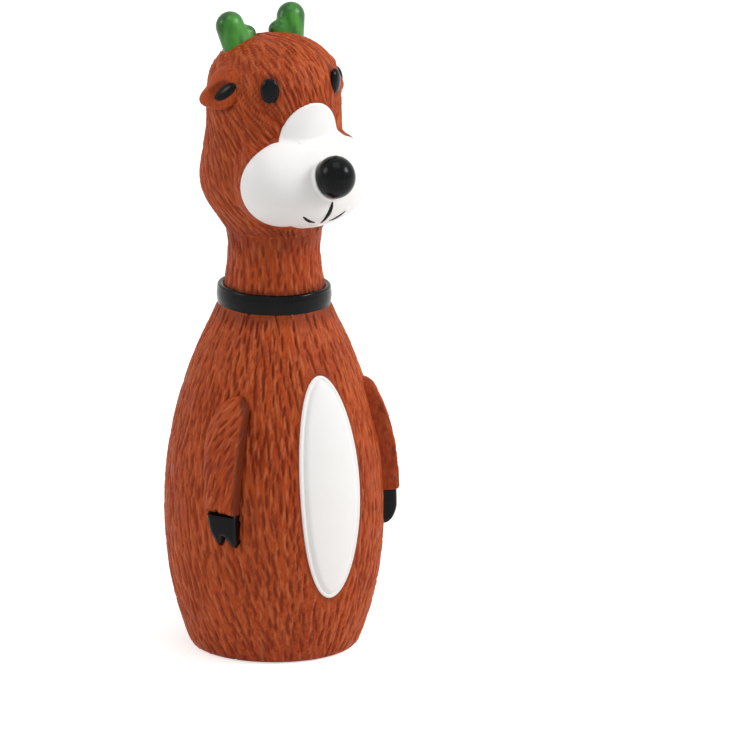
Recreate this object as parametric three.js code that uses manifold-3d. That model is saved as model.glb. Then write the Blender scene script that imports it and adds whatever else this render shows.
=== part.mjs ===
// A squeaky dog toy: a skittle-shaped deer of soft latex, stuffed with fibre, with a squeaker in its base.
// Millimetres, +Z up. The toy faces -Y, and its own left is +X. The body's axis is the Z axis while the
// pieces are made; the whole toy is moved at the end so that its box stands centred on the origin.
//
// On the real toy the skin is one moulding, painted in zones. Here each moulded feature and each zone
// is a solid of its own, cut from the same skin, with a fine seam between neighbours.

import * as THREE from "three";
import { mergeVertices } from "three/addons/utils/BufferGeometryUtils.js";
import Module from "manifold-3d";

const wasm = await Module();
wasm.setup();

// Driving dimensions

const SEAM = 0.3; // gap between neighbouring pieces
const OVERRUN = 3; // how far a cutter runs past what it cuts
const SKIN_WALL = 2.2;

const BODY_HEIGHT = 80.3; // floor to the seam under the collar
const BODY_RADIUS = 24.3;
const NECK_HEIGHT = 15.2; // seam under the collar to the seam under the head
const NECK_RADIUS = 10.2;
const HEAD_HEIGHT = 43.7; // seam under the head to the crown
const HEAD_RADIUS = 16.4;

// Profiles, as shares of each piece's radius and height, from the bottom up
const bodyProfileShares = [
  [0.638, 0], [0.73, 0.003], [0.785, 0.028], [0.834, 0.07], [0.902, 0.137], [0.965, 0.235],
  [1, 0.36], [0.996, 0.47], [0.958, 0.575], [0.887, 0.68], [0.79, 0.778], [0.68, 0.865],
  [0.569, 0.935], [0.481, 1],
];
// Up the neck: how far its radius has gone from its narrowest towards what it joins, below and above
const neckProfileShares = [[1, 0, 0], [0.35, 0, 0.3], [0, 0, 0.7], [0, 1, 1]];
const headProfileShares = [
  [0.655, 0], [0.75, 0.06], [0.89, 0.137], [0.975, 0.21], [1, 0.29], [0.96, 0.41], [0.915, 0.52],
  [0.909, 0.65], [0.9, 0.75], [0.84, 0.837], [0.7, 0.91], [0.5, 0.963], [0.27, 0.99],
];

const BELLY_WIDTH = 15.8;
const BELLY_LENGTH = 50;
const bellyCentreShare = 0.503; // up the body
const BELLY_RISE = 0.5; // how far the white oval stands out from the fur

const COLLAR_RISE = 0.9; // how far it stands out from the skin under it
const COLLAR_WALL = 1.6;
const COLLAR_WIDTH = 4.7;
const collarRoundShare = 0.33; // of its wall, how far its edges are rounded

const ARM_ANGLE_DEG = 60; // from the front, round the body
const ARM_TOP_DROP = 18.9; // below the seam under the collar
const ARM_LENGTH = 25.9;
const ARM_WIDTH = 8.8;
const ARM_RISE = 3.6;
// Height up the arm, width, rise and lean towards the front, as shares
const armSectionShares = [
  [0, 0.88, 0.84, 0], [0.2, 0.97, 0.92, -0.01], [0.45, 1.03, 1, -0.02], [0.68, 0.98, 0.98, 0],
  [0.84, 0.86, 0.84, 0.02], [0.94, 0.62, 0.6, 0.04], [1, 0.22, 0.22, 0.05],
];

const HOOF_LENGTH = 7.6;
const HOOF_WIDTH = 6.8;
const HOOF_RISE = 3.3;
const HOOF_CLEFT_DEPTH = 2.4;
const HOOF_CLEFT_WIDTH = 2;
const hoofSectionShares = [[0, 0.6, 0.5, 0.08], [0.4, 0.82, 0.86, 0.05], [0.8, 0.98, 1, 0.02], [1, 1, 1, 0]];

// The snout and the cheeks are ellipsoids that flow into the skull: how far out to the side, how far to
// the front and how high above the head's lower seam each centre lies, and its three half sizes
const SNOUT_CENTRE = [0, -12, 12.8];
const SNOUT_HALF = [14.2, 12.2, 9.8];
const CHEEK_CENTRE = [7.6, -10.6, 13.9];
const CHEEK_HALF = [8.3, 8.5, 9.4];
const SNOUT_BLEND = 3; // how widely the forms flow into each other
// The place in the head from which its surface is seen all round: up the head, and towards the snout
const headCoreShares = [0.33, 0.33];

// The white zone of the muzzle is four overlapping ovals. Their centres and half sizes are measured
// round the head at its widest radius, and up from its lower seam.
const BLAZE_CENTRE = [0, 22];
const BLAZE_HALF = [8.9, 9.3];
const WHITE_CHEEK_CENTRE = [8, 13.8];
const WHITE_CHEEK_HALF = [7.8, 9.4];
const CHIN_CENTRE = [0, 11.6];
const CHIN_HALF = [10, 8.7];
const WHITE_ZONE_CORE = 3; // the zone's rays start this far from the head's axis

const NOSE_RADIUS = 4.85;
const NOSE_RISE = 1.9; // the nose's centre lies this far in front of the snout
const NOSE_HEIGHT = 16.7; // above the head's lower seam

const EYE_WIDTH = 4.2;
const EYE_LENGTH = 5.8;
const EYE_DEPTH = 2.8;
const EYE_ANGLE_DEG = 37.5;
const EYE_DROP = 9.1; // below the crown

const EAR_LENGTH = 11.6;
const EAR_WIDTH = 8.6;
const EAR_DEPTH = 3.5;
const EAR_ANGLE_DEG = 82;
const EAR_DROP = 10.3; // below the crown
const EAR_TILT_DEG = 20; // the tip points down
const EAR_SPREAD_DEG = 9; // the tip stands away from the head
const EAR_INNER_LENGTH = 6;
const EAR_INNER_WIDTH = 3;
const EAR_INNER_DEPTH = 1.6;
const EAR_INNER_SHIFT = 1.2; // towards the eye from the ear's middle
const EAR_INNER_TILT_DEG = 28; // its front end points up

const ANTLER_SPACING = 17.2; // between the two main lobes
const ANTLER_BACK = 4.4; // behind the axis
const ANTLER_LEAN_DEG = 12; // backwards
const ANTLER_LOBE_HALF = [3, 2.6, 6.4];
const ANTLER_LOBE_DROP = 0.5; // the lobe's centre below the crown
const ANTLER_PRONG_HALF = [2, 1.9, 3.4];
const ANTLER_PRONG_DROP = 1.2;
const ANTLER_PRONG_INSET = 4.8; // from the main lobe towards the middle
const ANTLER_PRONG_TILT_DEG = 14;
const ANTLER_ROOT_HALF = [4.6, 2.4, 3.6];
const ANTLER_ROOT_DROP = 2.1;
const ANTLER_ROOT_INSET = 2.4;

const MOUTH_LINE_WIDTH = 0.9;
// Mouth lines: places out to the side and above the head's lower seam
const PHILTRUM_TOP_HEIGHT = 11;
const PHILTRUM_BOTTOM_HEIGHT = 5.4;
const SMILE_REACH = 5.2;
const SMILE_START = 1.7;
const SMILE_LOW_HEIGHT = 5.7;
const SMILE_DIP = 0.4;
const SMILE_RISE = 2.1;

const SQUEAKER_RADIUS = 7.7;
const SQUEAKER_HEIGHT = 13;
const SQUEAKER_WALL = 1;
const SQUEAKER_FACE_DEPTH = 0.8; // how far its face lies above the floor
const FLANGE_OVERHANG = 1.6; // beyond the cup's outside
const FLANGE_THICKNESS = 0.8;
const LIP_THICKNESS = 2; // latex held between the two flanges
const CAP_THICKNESS = 1;
const CAP_HOLE_RADIUS = 0.9;
const CAP_HOLE_INSET = 3.1; // from the cup's inside to the ring of holes
const CAP_HOLE_COUNT = 6;
const REED_TUBE_RADIUS = 2.3;
const REED_TUBE_FLANGE_OVERHANG = 1.4;
const REED_TUBE_FLANGE_THICKNESS = 0.8;
const REED_LENGTH = 7.2;
const REED_WIDTH = 3;
const REED_THICKNESS = 0.25;
const REED_SEAT_GAP = 0.5;
const REED_CLAMP_LENGTH = 2.4;
const REED_CHANNEL_WIDTH = 1.4;
const REED_CHANNEL_DEPTH = 0.9;
const REED_TRAVEL_MARGIN = 0.6; // the seat runs on this far past the reed's tip

const neckBendShare = 0.6; // up the neck, where the head nods
const STUFFING_GAP = 2.1; // from the bend to each block of fibre

// How finely round things are cut
const BODY_STEPS = 32;
const BODY_ROWS = 15;
const HEAD_ROWS = 13;
const BULGE_STEPS = 20;
const SMALL_STEPS = 14;
const LOOP_STEPS = 24;
const LINE_STEPS = 4;
const LINE_SIDES = 3;
const SECTION_STEPS = 12;
const INNER_STEPS = 7;
const HOLE_STEPS = 6;
const HEAD_FORM_STEPS = 36;
const HEAD_HOLLOW_STEPS = 20;
const RAY_ROUNDS = 22;

// Colours

const BROWN = 0xa8552f;
const WHITE = 0xf4f2ef;
const BLACK = 0x151619;
const GREEN = 0x3f8a34;
const PLASTIC = 0xd8dadc;
const FIBRE = 0xe9e6df;

const latex = (color) => new THREE.MeshStandardMaterial({ color, roughness: 0.5, metalness: 0 });
const gloss = (color) => new THREE.MeshStandardMaterial({ color, roughness: 0.22, metalness: 0 });
const plastic = (color) => new THREE.MeshStandardMaterial({ color, roughness: 0.4, metalness: 0 });
const fibre = (color) => new THREE.MeshStandardMaterial({ color, roughness: 0.95, metalness: 0 });

const radians = (degrees) => THREE.MathUtils.degToRad(degrees);

// Heights of the seams

const neckBottom = BODY_HEIGHT;
const headBottom = BODY_HEIGHT + NECK_HEIGHT;
const crown = headBottom + HEAD_HEIGHT;
const largest = crown + BODY_RADIUS; // longer than anything that is cut

// Solids

function solid(geometry) {
  const bare = geometry.index ? geometry.clone() : geometry;
  bare.deleteAttribute("normal");
  bare.deleteAttribute("uv");
  const merged = mergeVertices(bare);
  const triangles = Uint32Array.from(merged.index.array);
  const vertices = Float32Array.from(merged.attributes.position.array);
  const surface = { numProp: 3, vertProperties: vertices, triVerts: triangles };
  const made = new wasm.Manifold(new wasm.Mesh(surface));
  if (made.volume() >= 0) return made;
  for (let t = 0; t < triangles.length; t += 3) {
    [triangles[t + 1], triangles[t + 2]] = [triangles[t + 2], triangles[t + 1]];
  }
  return new wasm.Manifold(new wasm.Mesh(surface));
}

function toMesh(name, shape, material) {
  const { vertProperties, triVerts } = shape.getMesh();
  const geometry = new THREE.BufferGeometry();
  geometry.setAttribute("position", new THREE.BufferAttribute(Float32Array.from(vertProperties), 3));
  geometry.setIndex(new THREE.BufferAttribute(Uint32Array.from(triVerts), 1));
  geometry.computeVertexNormals();
  const mesh = new THREE.Mesh(geometry, material);
  mesh.name = name;
  return mesh;
}

const union = (shapes) => shapes.reduce((sum, next) => sum.add(next));

// Turned shapes: points are [radius, height], and the first angle lies at the front
function turned(points, steps) {
  const profile = points.map(([r, z]) => new THREE.Vector2(r, z));
  return solid(new THREE.LatheGeometry(profile, steps).rotateX(radians(90)));
}

const ringed = (points, steps) => turned([...points, points[0]], steps);

const onAxis = (points, steps) => turned([[0, points[0][1]], ...points, [0, points.at(-1)[1]]], steps);

const cylinder = (radius, bottom, top, steps) => onAxis([[radius, bottom], [radius, top]], steps);

// A form with a half size along each axis, turned and then placed
function placed(geometry, centre, half, turn) {
  const place = new THREE.Matrix4().compose(
    new THREE.Vector3(...centre),
    new THREE.Quaternion().setFromEuler(new THREE.Euler(...(turn ?? [0, 0, 0]), "ZYX")),
    new THREE.Vector3(...half),
  );
  return solid(geometry.rotateX(radians(90)).applyMatrix4(place));
}

const ellipsoid = (centre, half, turn, steps) =>
  placed(new THREE.SphereGeometry(1, steps, Math.round(steps / 2)), centre, half, turn);

// A rod with round ends, whose half length counts its ends
function roundRod(centre, [halfX, halfY, halfZ], turn, steps) {
  const slimness = halfZ / halfX;
  const rod = new THREE.CapsuleGeometry(1, 2 * Math.max(slimness - 1, 0), Math.round(steps / 4), steps);
  return placed(rod, centre, [halfX, halfY, halfX], turn);
}

// A prism that stands on an outline in the XZ plane and runs from one depth towards the front
function frontPrism(shape, back, front, curveSteps) {
  const settings = { depth: back - front, bevelEnabled: false, curveSegments: curveSteps };
  const geometry = new THREE.ExtrudeGeometry(shape, settings);
  return solid(geometry.rotateX(radians(90)).translate(0, back, 0));
}

function ellipsePrism(x, z, halfX, halfZ, back) {
  const shape = new THREE.Shape().absellipse(x, z, halfX, halfZ, 0, 2 * Math.PI);
  return frontPrism(shape, back, -largest, LOOP_STEPS);
}

// A solid whose surface is met once by each ray from its core, where a distance function has one value
function rayForm(distance, core, value, reach, steps) {
  const rows = Math.round((3 * steps) / 4);
  const geometry = new THREE.SphereGeometry(1, steps, rows).rotateX(radians(90));
  const position = geometry.attributes.position;
  const direction = new THREE.Vector3();
  for (let k = 0; k < position.count; k += 1) {
    const column = k % (steps + 1);
    if (column === steps) {
      const first = direction.fromBufferAttribute(position, k - steps);
      position.setXYZ(k, first.x, first.y, first.z);
      continue;
    }
    direction.fromBufferAttribute(position, k).normalize();
    const met = rayMeets(distance, core, direction, value, reach);
    position.setXYZ(k, met.x, met.y, met.z);
  }
  return solid(geometry);
}

function rayMeets(distance, from, direction, value, reach) {
  let [inside, outside] = [0, reach];
  const place = new THREE.Vector3();
  for (let round = 0; round < RAY_ROUNDS; round += 1) {
    const half = (inside + outside) / 2;
    place.copy(from).addScaledVector(direction, half);
    if (distance(place) > value) outside = half;
    else inside = half;
  }
  return place;
}

// A solid skinned over rings that all have the same number of points
function lofted(rings) {
  const count = rings[0].length;
  const middle = (ring) => ring.reduce((sum, p) => sum.clone().add(p)).clone().divideScalar(count);
  const points = [...rings.flat(), middle(rings[0]), middle(rings.at(-1))];
  const faces = [];
  for (let ring = 0; ring < rings.length - 1; ring += 1) {
    for (let k = 0; k < count; k += 1) {
      const a = ring * count + k;
      const b = ring * count + ((k + 1) % count);
      faces.push(a, b, b + count, a, b + count, a + count);
    }
  }
  const top = (rings.length - 1) * count;
  for (let k = 0; k < count; k += 1) {
    const next = (k + 1) % count;
    faces.push(points.length - 2, next, k);
    faces.push(points.length - 1, top + k, top + next);
  }
  return solid(new THREE.BufferGeometry().setFromPoints(points).setIndex(faces));
}

const onBody = (angle, radius, z) =>
  new THREE.Vector3(radius * Math.sin(angle), -radius * Math.cos(angle), z);

// Profiles: a smooth curve through each table of shares

function smoothProfile(shares, radius, bottom, height, steps) {
  const points = shares.map(([r, z]) => new THREE.Vector2(r * radius, bottom + z * height));
  return new THREE.SplineCurve(points).getPoints(steps).map((p) => [p.x, p.y]);
}

const bodyProfile = smoothProfile(bodyProfileShares, BODY_RADIUS, 0, BODY_HEIGHT, BODY_ROWS);
const headProfile = smoothProfile(headProfileShares, HEAD_RADIUS, headBottom, HEAD_HEIGHT, HEAD_ROWS);
const bodyTopRadius = bodyProfile.at(-1)[0];
const headBottomRadius = headProfile[0][0];
const neckShares = neckProfileShares.map(([toBody, toHead, up]) => [
  1 + (toBody * (bodyTopRadius - NECK_RADIUS) + toHead * (headBottomRadius - NECK_RADIUS)) / NECK_RADIUS,
  up,
]);
const neckProfile = smoothProfile(neckShares, NECK_RADIUS, neckBottom, NECK_HEIGHT, LINE_STEPS);

function radiusAt(profile, z) {
  const above = Math.max(1, profile.findIndex(([, height]) => height >= z));
  const [[r0, z0], [r1, z1]] = [profile[above - 1], profile[above]];
  return THREE.MathUtils.lerp(r0, r1, (z - z0) / (z1 - z0));
}

const grownBy = (profile, extra) => profile.map(([r, z]) => [r + extra, z]);

// The inside of a skin, from one height to the profile's top
function innerProfile(profile, bottom, steps) {
  const top = profile.at(-1)[1];
  const rows = [];
  for (let k = 0; k <= steps; k += 1) {
    const z = THREE.MathUtils.lerp(bottom, top, k / steps);
    rows.push([radiusAt(profile, z) - SKIN_WALL, z]);
  }
  return rows;
}

// Body skin: the base has a lip that the squeaker's two flanges hold

const flangeRadius = SQUEAKER_RADIUS + FLANGE_OVERHANG;
const flangeBottom = SQUEAKER_FACE_DEPTH;
const lipBottom = flangeBottom + FLANGE_THICKNESS + SEAM;
const lipTop = lipBottom + LIP_THICKNESS;
const upperFlangeBottom = lipTop + SEAM;
const squeakerTop = flangeBottom + SQUEAKER_HEIGHT;

const bodyInside = innerProfile(bodyProfile, lipTop, INNER_STEPS);
const bodySkin = ringed(
  [
    [flangeRadius + SEAM, 0],
    ...bodyProfile,
    ...bodyInside.toReversed(),
    [SQUEAKER_RADIUS + SEAM, lipTop],
    [SQUEAKER_RADIUS + SEAM, lipBottom],
    [flangeRadius + SEAM, lipBottom],
  ],
  BODY_STEPS,
);

// Cutters that leave a seam round the body and the head
const bodyGrown = onAxis(grownBy(bodyProfile, SEAM), BODY_STEPS);

// Belly: the white oval is cut straight through the skin from the front, so it can be pressed in

const bellyCentre = bellyCentreShare * BODY_HEIGHT;
const bellyPrism = (extra) =>
  ellipsePrism(0, bellyCentre, BELLY_WIDTH / 2 + extra, BELLY_LENGTH / 2 + extra, 0);

const raisedSkin = ringed([...grownBy(bodyProfile, BELLY_RISE), ...bodyInside.toReversed()], BODY_STEPS);
const bellyPatch = raisedSkin.intersect(bellyPrism(0));

// Collar: a rounded band, let into the skin of the body and the neck

const collarRadius = bodyTopRadius + COLLAR_RISE;

function collarBand(extra) {
  const inner = collarRadius - COLLAR_WALL - extra;
  const outer = collarRadius + extra;
  const half = COLLAR_WIDTH / 2 + extra;
  const round = collarRoundShare * COLLAR_WALL;
  const points = [
    [inner, -half], [outer - round, -half], [outer, round - half],
    [outer - round / 2, half - round], [outer - round, half], [inner, half],
  ];
  const profile = [...points, points[0]].map(([r, z]) => new THREE.Vector2(r, z));
  const geometry = new THREE.LatheGeometry(profile, BODY_STEPS).rotateX(radians(90));
  return solid(geometry.translate(0, 0, neckBottom));
}

const collarGroove = collarBand(SEAM);
const bodyShell = bodySkin.subtract(bellyPrism(SEAM)).subtract(collarGroove);

// Neck skin

const neckOuter = neckProfile.filter(([, z]) => z > neckBottom + SEAM && z < headBottom - SEAM);
const neckEnds = [neckBottom + SEAM, headBottom - SEAM];
const neckRows = [
  [radiusAt(neckProfile, neckEnds[0]), neckEnds[0]],
  ...neckOuter,
  [radiusAt(neckProfile, neckEnds[1]), neckEnds[1]],
];
const neckSkin = ringed([...neckRows, ...grownBy(neckRows, -SKIN_WALL).toReversed()], BODY_STEPS);

// Arms and hooves: sections that lie on the body, cut where they meet it

function limb(side, shares, bottom, length, width, rise, leanWidth) {
  const rings = shares.map(([up, widthShare, riseShare, lean]) => {
    const z = bottom + up * length;
    const bodyR = radiusAt(bodyProfile, z);
    const middle = radians(ARM_ANGLE_DEG) - (lean * leanWidth) / bodyR;
    const ring = [];
    for (let k = 0; k < SECTION_STEPS; k += 1) {
      const turn = (2 * Math.PI * k) / SECTION_STEPS;
      const aside = (Math.cos(turn) * widthShare * width) / 2 / bodyR;
      const out = Math.sin(turn) * (Math.sin(turn) > 0 ? riseShare * rise : SKIN_WALL / 2);
      ring.push(onBody(side * (middle + aside), bodyR + out, z));
    }
    return ring;
  });
  return lofted(rings);
}

const armBottom = BODY_HEIGHT - ARM_TOP_DROP - ARM_LENGTH;
const hoofBottom = armBottom - SEAM - HOOF_LENGTH;

const arm = (side) =>
  limb(side, armSectionShares, armBottom, ARM_LENGTH, ARM_WIDTH, ARM_RISE, ARM_WIDTH).subtract(bodyGrown);

function hoof(side) {
  const shape = limb(side, hoofSectionShares, hoofBottom, HOOF_LENGTH, HOOF_WIDTH, HOOF_RISE, ARM_WIDTH);
  const cleft = new THREE.Shape();
  cleft.moveTo(-HOOF_CLEFT_WIDTH / 2, -HOOF_CLEFT_DEPTH);
  cleft.lineTo(HOOF_CLEFT_WIDTH / 2, -HOOF_CLEFT_DEPTH);
  cleft.lineTo(0, HOOF_CLEFT_DEPTH);
  cleft.closePath();
  const settings = { depth: BODY_RADIUS + HOOF_RISE + OVERRUN, bevelEnabled: false };
  const lean = (hoofSectionShares[0][3] * ARM_WIDTH) / BODY_RADIUS;
  const wedge = new THREE.ExtrudeGeometry(cleft, settings)
    .rotateX(radians(90))
    .rotateZ(side * (radians(ARM_ANGLE_DEG) - lean))
    .translate(0, 0, hoofBottom);
  return shape.subtract(solid(wedge)).subtract(bodyGrown);
}

// Head skin: skull, snout and cheeks, hollow and open at the neck

const snoutCentre = [SNOUT_CENTRE[0], SNOUT_CENTRE[1], headBottom + SNOUT_CENTRE[2]];
const cheekCentres = [-1, 1].map((side) => [
  side * CHEEK_CENTRE[0],
  CHEEK_CENTRE[1],
  headBottom + CHEEK_CENTRE[2],
]);

// Distance from a point to the skull's turned profile, negative inside
const skullOutline = [[headBottomRadius, headBottom - SKIN_WALL - OVERRUN], ...headProfile, [0, crown]].map(
  ([r, z]) => new THREE.Vector2(r, z),
);

function skullDistance(place) {
  const flat = new THREE.Vector2(Math.hypot(place.x, place.y), place.z);
  let nearest = Infinity;
  let inside = false;
  const foot = new THREE.Vector2();
  for (let k = 0; k < skullOutline.length - 1; k += 1) {
    const [low, high] = [skullOutline[k], skullOutline[k + 1]];
    const along = foot.subVectors(high, low);
    const share = flat.clone().sub(low).dot(along) / along.lengthSq();
    const clamped = THREE.MathUtils.clamp(share, 0, 1);
    nearest = Math.min(nearest, foot.lerpVectors(low, high, clamped).distanceTo(flat));
    const spans = flat.y >= low.y && flat.y < high.y;
    const edge = THREE.MathUtils.lerp(low.x, high.x, (flat.y - low.y) / (high.y - low.y));
    inside ||= spans && flat.x < edge;
  }
  return inside ? -nearest : nearest;
}

// Distance to an ellipsoid, close enough near its surface
function ovalDistance(place, [x, y, z], [a, b, c]) {
  const [dx, dy, dz] = [place.x - x, place.y - y, place.z - z];
  const ratio = Math.hypot(dx / a, dy / b, dz / c);
  const slope = Math.hypot(dx / a ** 2, dy / b ** 2, dz / c ** 2);
  return slope > 0 ? (ratio * (ratio - 1)) / slope : -Math.min(a, b, c);
}

function blended(first, second, width) {
  const overlap = Math.max(width - Math.abs(first - second), 0) / width;
  return Math.min(first, second) - (overlap ** 2 * width) / 4;
}

function headDistance(place) {
  const snout = ovalDistance(place, snoutCentre, SNOUT_HALF);
  const [right, left] = cheekCentres.map((centre) => ovalDistance(place, centre, CHEEK_HALF));
  const face = blended(snout, Math.min(right, left), SNOUT_BLEND);
  return blended(skullDistance(place), face, SNOUT_BLEND);
}

const [coreUp, coreForward] = headCoreShares;
const headCore = new THREE.Vector3(0, coreForward * SNOUT_CENTRE[1], headBottom + coreUp * HEAD_HEIGHT);
const headForm = (value, steps) => rayForm(headDistance, headCore, value, 2 * HEAD_HEIGHT, steps);
const headOuter = headForm(0, HEAD_FORM_STEPS);
const headGrown = headForm(SEAM, HEAD_FORM_STEPS);

const belowNeckSeam = cylinder(largest, -largest, headBottom, SECTION_STEPS);
const headSkin = headOuter.subtract(headForm(-SKIN_WALL, HEAD_HOLLOW_STEPS)).subtract(belowNeckSeam);

// How far the outline of overlapping ovals lies from a place inside them, in one direction
function reachOfOvals(ovals, [fromX, fromZ], [dirX, dirZ], extra) {
  const reaches = ovals.map(([[x, z], [halfX, halfZ]]) => {
    const [a, b] = [halfX + extra, halfZ + extra];
    const [dx, dz] = [fromX - x, fromZ - z];
    const square = (dirX / a) ** 2 + (dirZ / b) ** 2;
    const cross = (dx * dirX) / a ** 2 + (dz * dirZ) / b ** 2;
    const inside = cross ** 2 - square * ((dx / a) ** 2 + (dz / b) ** 2 - 1);
    return inside > 0 ? (Math.sqrt(inside) - cross) / square : 0;
  });
  return Math.max(...reaches);
}

// The white zone: rays from the head's axis through the ovals' common outline
function whiteZone(extra) {
  const [cheekX, cheekZ] = WHITE_CHEEK_CENTRE;
  const ovals = [
    [BLAZE_CENTRE, BLAZE_HALF],
    [CHIN_CENTRE, CHIN_HALF],
    [[-cheekX, cheekZ], WHITE_CHEEK_HALF],
    [[cheekX, cheekZ], WHITE_CHEEK_HALF],
  ];
  const centre = [0, cheekZ];
  const outline = Array.from({ length: 2 * LOOP_STEPS }, (_, k) => {
    const turn = (Math.PI * (k + 1 / 2)) / LOOP_STEPS;
    const direction = [Math.cos(turn), Math.sin(turn)];
    const reach = reachOfOvals(ovals, centre, direction, extra);
    return [reach * direction[0], cheekZ + reach * direction[1]];
  });
  const ring = (radius) => outline.map(([arc, z]) => onBody(arc / HEAD_RADIUS, radius, headBottom + z));
  return lofted([ring(WHITE_ZONE_CORE), ring(2 * HEAD_RADIUS)]);
}

const headShell = headSkin.subtract(whiteZone(SEAM));

// Mouth lines: round beads half sunk in grooves, on the snout's front

const forwards = new THREE.Vector3(0, -1, 0);
const snoutPoint = (x, z) =>
  rayMeets(headDistance, new THREE.Vector3(x, SNOUT_CENTRE[1], z), forwards, 0, HEAD_HEIGHT);

function mouthLine(places, extra) {
  const points = places.map(([x, z]) => snoutPoint(x, headBottom + z));
  const ends = [points[0], points.at(-1)];
  const stretch = (end, next) => end.clone().add(end.clone().sub(next).setLength(extra));
  if (extra > 0) {
    points[0] = stretch(ends[0], points[1]);
    points[points.length - 1] = stretch(ends[1], points.at(-2));
  }
  const path = new THREE.CatmullRomCurve3(points);
  const sectionRadius = MOUTH_LINE_WIDTH / 2 + extra;
  const section = new THREE.Shape().absellipse(0, 0, sectionRadius, sectionRadius);
  const settings = { steps: LINE_STEPS, curveSegments: LINE_SIDES, extrudePath: path };
  return solid(new THREE.ExtrudeGeometry(section, settings));
}

const philtrumPlaces = [0, 1 / 2, 1].map((t) => [
  0,
  THREE.MathUtils.lerp(PHILTRUM_TOP_HEIGHT, PHILTRUM_BOTTOM_HEIGHT, t),
]);
const smilePlaces = (side) =>
  [0, 1 / 3, 2 / 3, 1].map((t) => [
    side * THREE.MathUtils.lerp(SMILE_START, SMILE_REACH, t),
    SMILE_LOW_HEIGHT - SMILE_DIP * Math.sin(Math.PI * t) + SMILE_RISE * t * t,
  ]);
const mouth = {
  philtrum_line: philtrumPlaces,
  smile_left: smilePlaces(1),
  smile_right: smilePlaces(-1),
};

const mouthGrooves = Object.values(mouth).map((places) => mouthLine(places, SEAM));
const muzzle = mouthGrooves.reduce((sum, groove) => sum.subtract(groove), headSkin.intersect(whiteZone(0)));

// Nose, eyes, ears and antlers: forms cut where they meet the head

const noseHeight = headBottom + NOSE_HEIGHT;
const noseCentre = [0, snoutPoint(0, noseHeight).y - NOSE_RISE, noseHeight];
const noseHalf = [NOSE_RADIUS, NOSE_RADIUS, NOSE_RADIUS];
const nose = ellipsoid(noseCentre, noseHalf, null, SMALL_STEPS).subtract(headGrown);

function onHead(side, angleDeg, drop, extraRadius) {
  const z = crown - drop;
  const radius = radiusAt(headProfile, z) + extraRadius;
  return onBody(side * radians(angleDeg), radius, z).toArray();
}

function eye(side) {
  const half = [EYE_WIDTH / 2, EYE_DEPTH / 2, EYE_LENGTH / 2];
  const turn = [0, 0, side * radians(EYE_ANGLE_DEG)];
  return ellipsoid(onHead(side, EYE_ANGLE_DEG, EYE_DROP, 0), half, turn, SMALL_STEPS).subtract(headGrown);
}

// An ear's own frame: X runs along it to the back tip, -Y points away from the head
function earForm(side, half, shift, out, tiltDeg) {
  const [x, y, z] = onHead(side, EAR_ANGLE_DEG, EAR_DROP, out);
  const facing = side * radians(EAR_ANGLE_DEG - EAR_SPREAD_DEG);
  const centre = [x - side * shift * Math.cos(facing), y - side * shift * Math.sin(facing), z];
  return ellipsoid(centre, half, [0, side * radians(tiltDeg), facing], SMALL_STEPS);
}

const earHalf = [EAR_LENGTH / 2, EAR_DEPTH / 2, EAR_WIDTH / 2];
function earInner(side, extra) {
  const half = [EAR_INNER_LENGTH / 2 + extra, EAR_INNER_DEPTH / 2 + extra, EAR_INNER_WIDTH / 2 + extra];
  return earForm(side, half, EAR_INNER_SHIFT, EAR_DEPTH / 2, EAR_INNER_TILT_DEG);
}

const ear = (side) =>
  earForm(side, earHalf, 0, 0, EAR_TILT_DEG).subtract(headGrown).subtract(earInner(side, SEAM));

function antler(side) {
  const lean = -radians(ANTLER_LEAN_DEG);
  const piece = (form, half, inset, drop, tiltDeg) =>
    form(
      [side * (ANTLER_SPACING / 2 - inset), ANTLER_BACK, crown - drop],
      half,
      [lean, -side * radians(tiltDeg), 0],
      SMALL_STEPS,
    );
  return union([
    piece(roundRod, ANTLER_LOBE_HALF, 0, ANTLER_LOBE_DROP, 0),
    piece(roundRod, ANTLER_PRONG_HALF, ANTLER_PRONG_INSET, ANTLER_PRONG_DROP, ANTLER_PRONG_TILT_DEG),
    piece(ellipsoid, ANTLER_ROOT_HALF, ANTLER_ROOT_INSET, ANTLER_ROOT_DROP, 0),
  ]).subtract(headGrown);
}

// Squeaker: cup, cap, and the tube that holds the reed

const cupInner = SQUEAKER_RADIUS - SQUEAKER_WALL;
const tubeHole = REED_TUBE_RADIUS + SEAM;
const capHoleCircle = cupInner - CAP_HOLE_INSET;
const squeakerHousing = ringed(
  [
    [cupInner, flangeBottom],
    [flangeRadius, flangeBottom],
    [flangeRadius, flangeBottom + FLANGE_THICKNESS],
    [SQUEAKER_RADIUS, flangeBottom + FLANGE_THICKNESS],
    [SQUEAKER_RADIUS, upperFlangeBottom],
    [flangeRadius, upperFlangeBottom],
    [SQUEAKER_RADIUS, upperFlangeBottom + 2 * FLANGE_THICKNESS],
    [SQUEAKER_RADIUS, squeakerTop],
    [tubeHole, squeakerTop],
    [tubeHole, squeakerTop - SQUEAKER_WALL],
    [cupInner, squeakerTop - SQUEAKER_WALL],
  ],
  SMALL_STEPS,
);

const capSolid = cylinder(cupInner - SEAM, flangeBottom, flangeBottom + CAP_THICKNESS, SMALL_STEPS);
const squeakerCap = Array.from({ length: CAP_HOLE_COUNT }, (_, k) => {
  const turn = (2 * Math.PI * k) / CAP_HOLE_COUNT;
  const hole = cylinder(CAP_HOLE_RADIUS, 0, flangeBottom + CAP_THICKNESS + OVERRUN, HOLE_STEPS);
  return hole.translate(capHoleCircle * Math.cos(turn), capHoleCircle * Math.sin(turn), 0);
}).reduce((sum, hole) => sum.subtract(hole), capSolid);

const box = (width, depth, bottom, top, y) =>
  solid(new THREE.BoxGeometry(width, depth, top - bottom).translate(0, y, (bottom + top) / 2));

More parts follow.
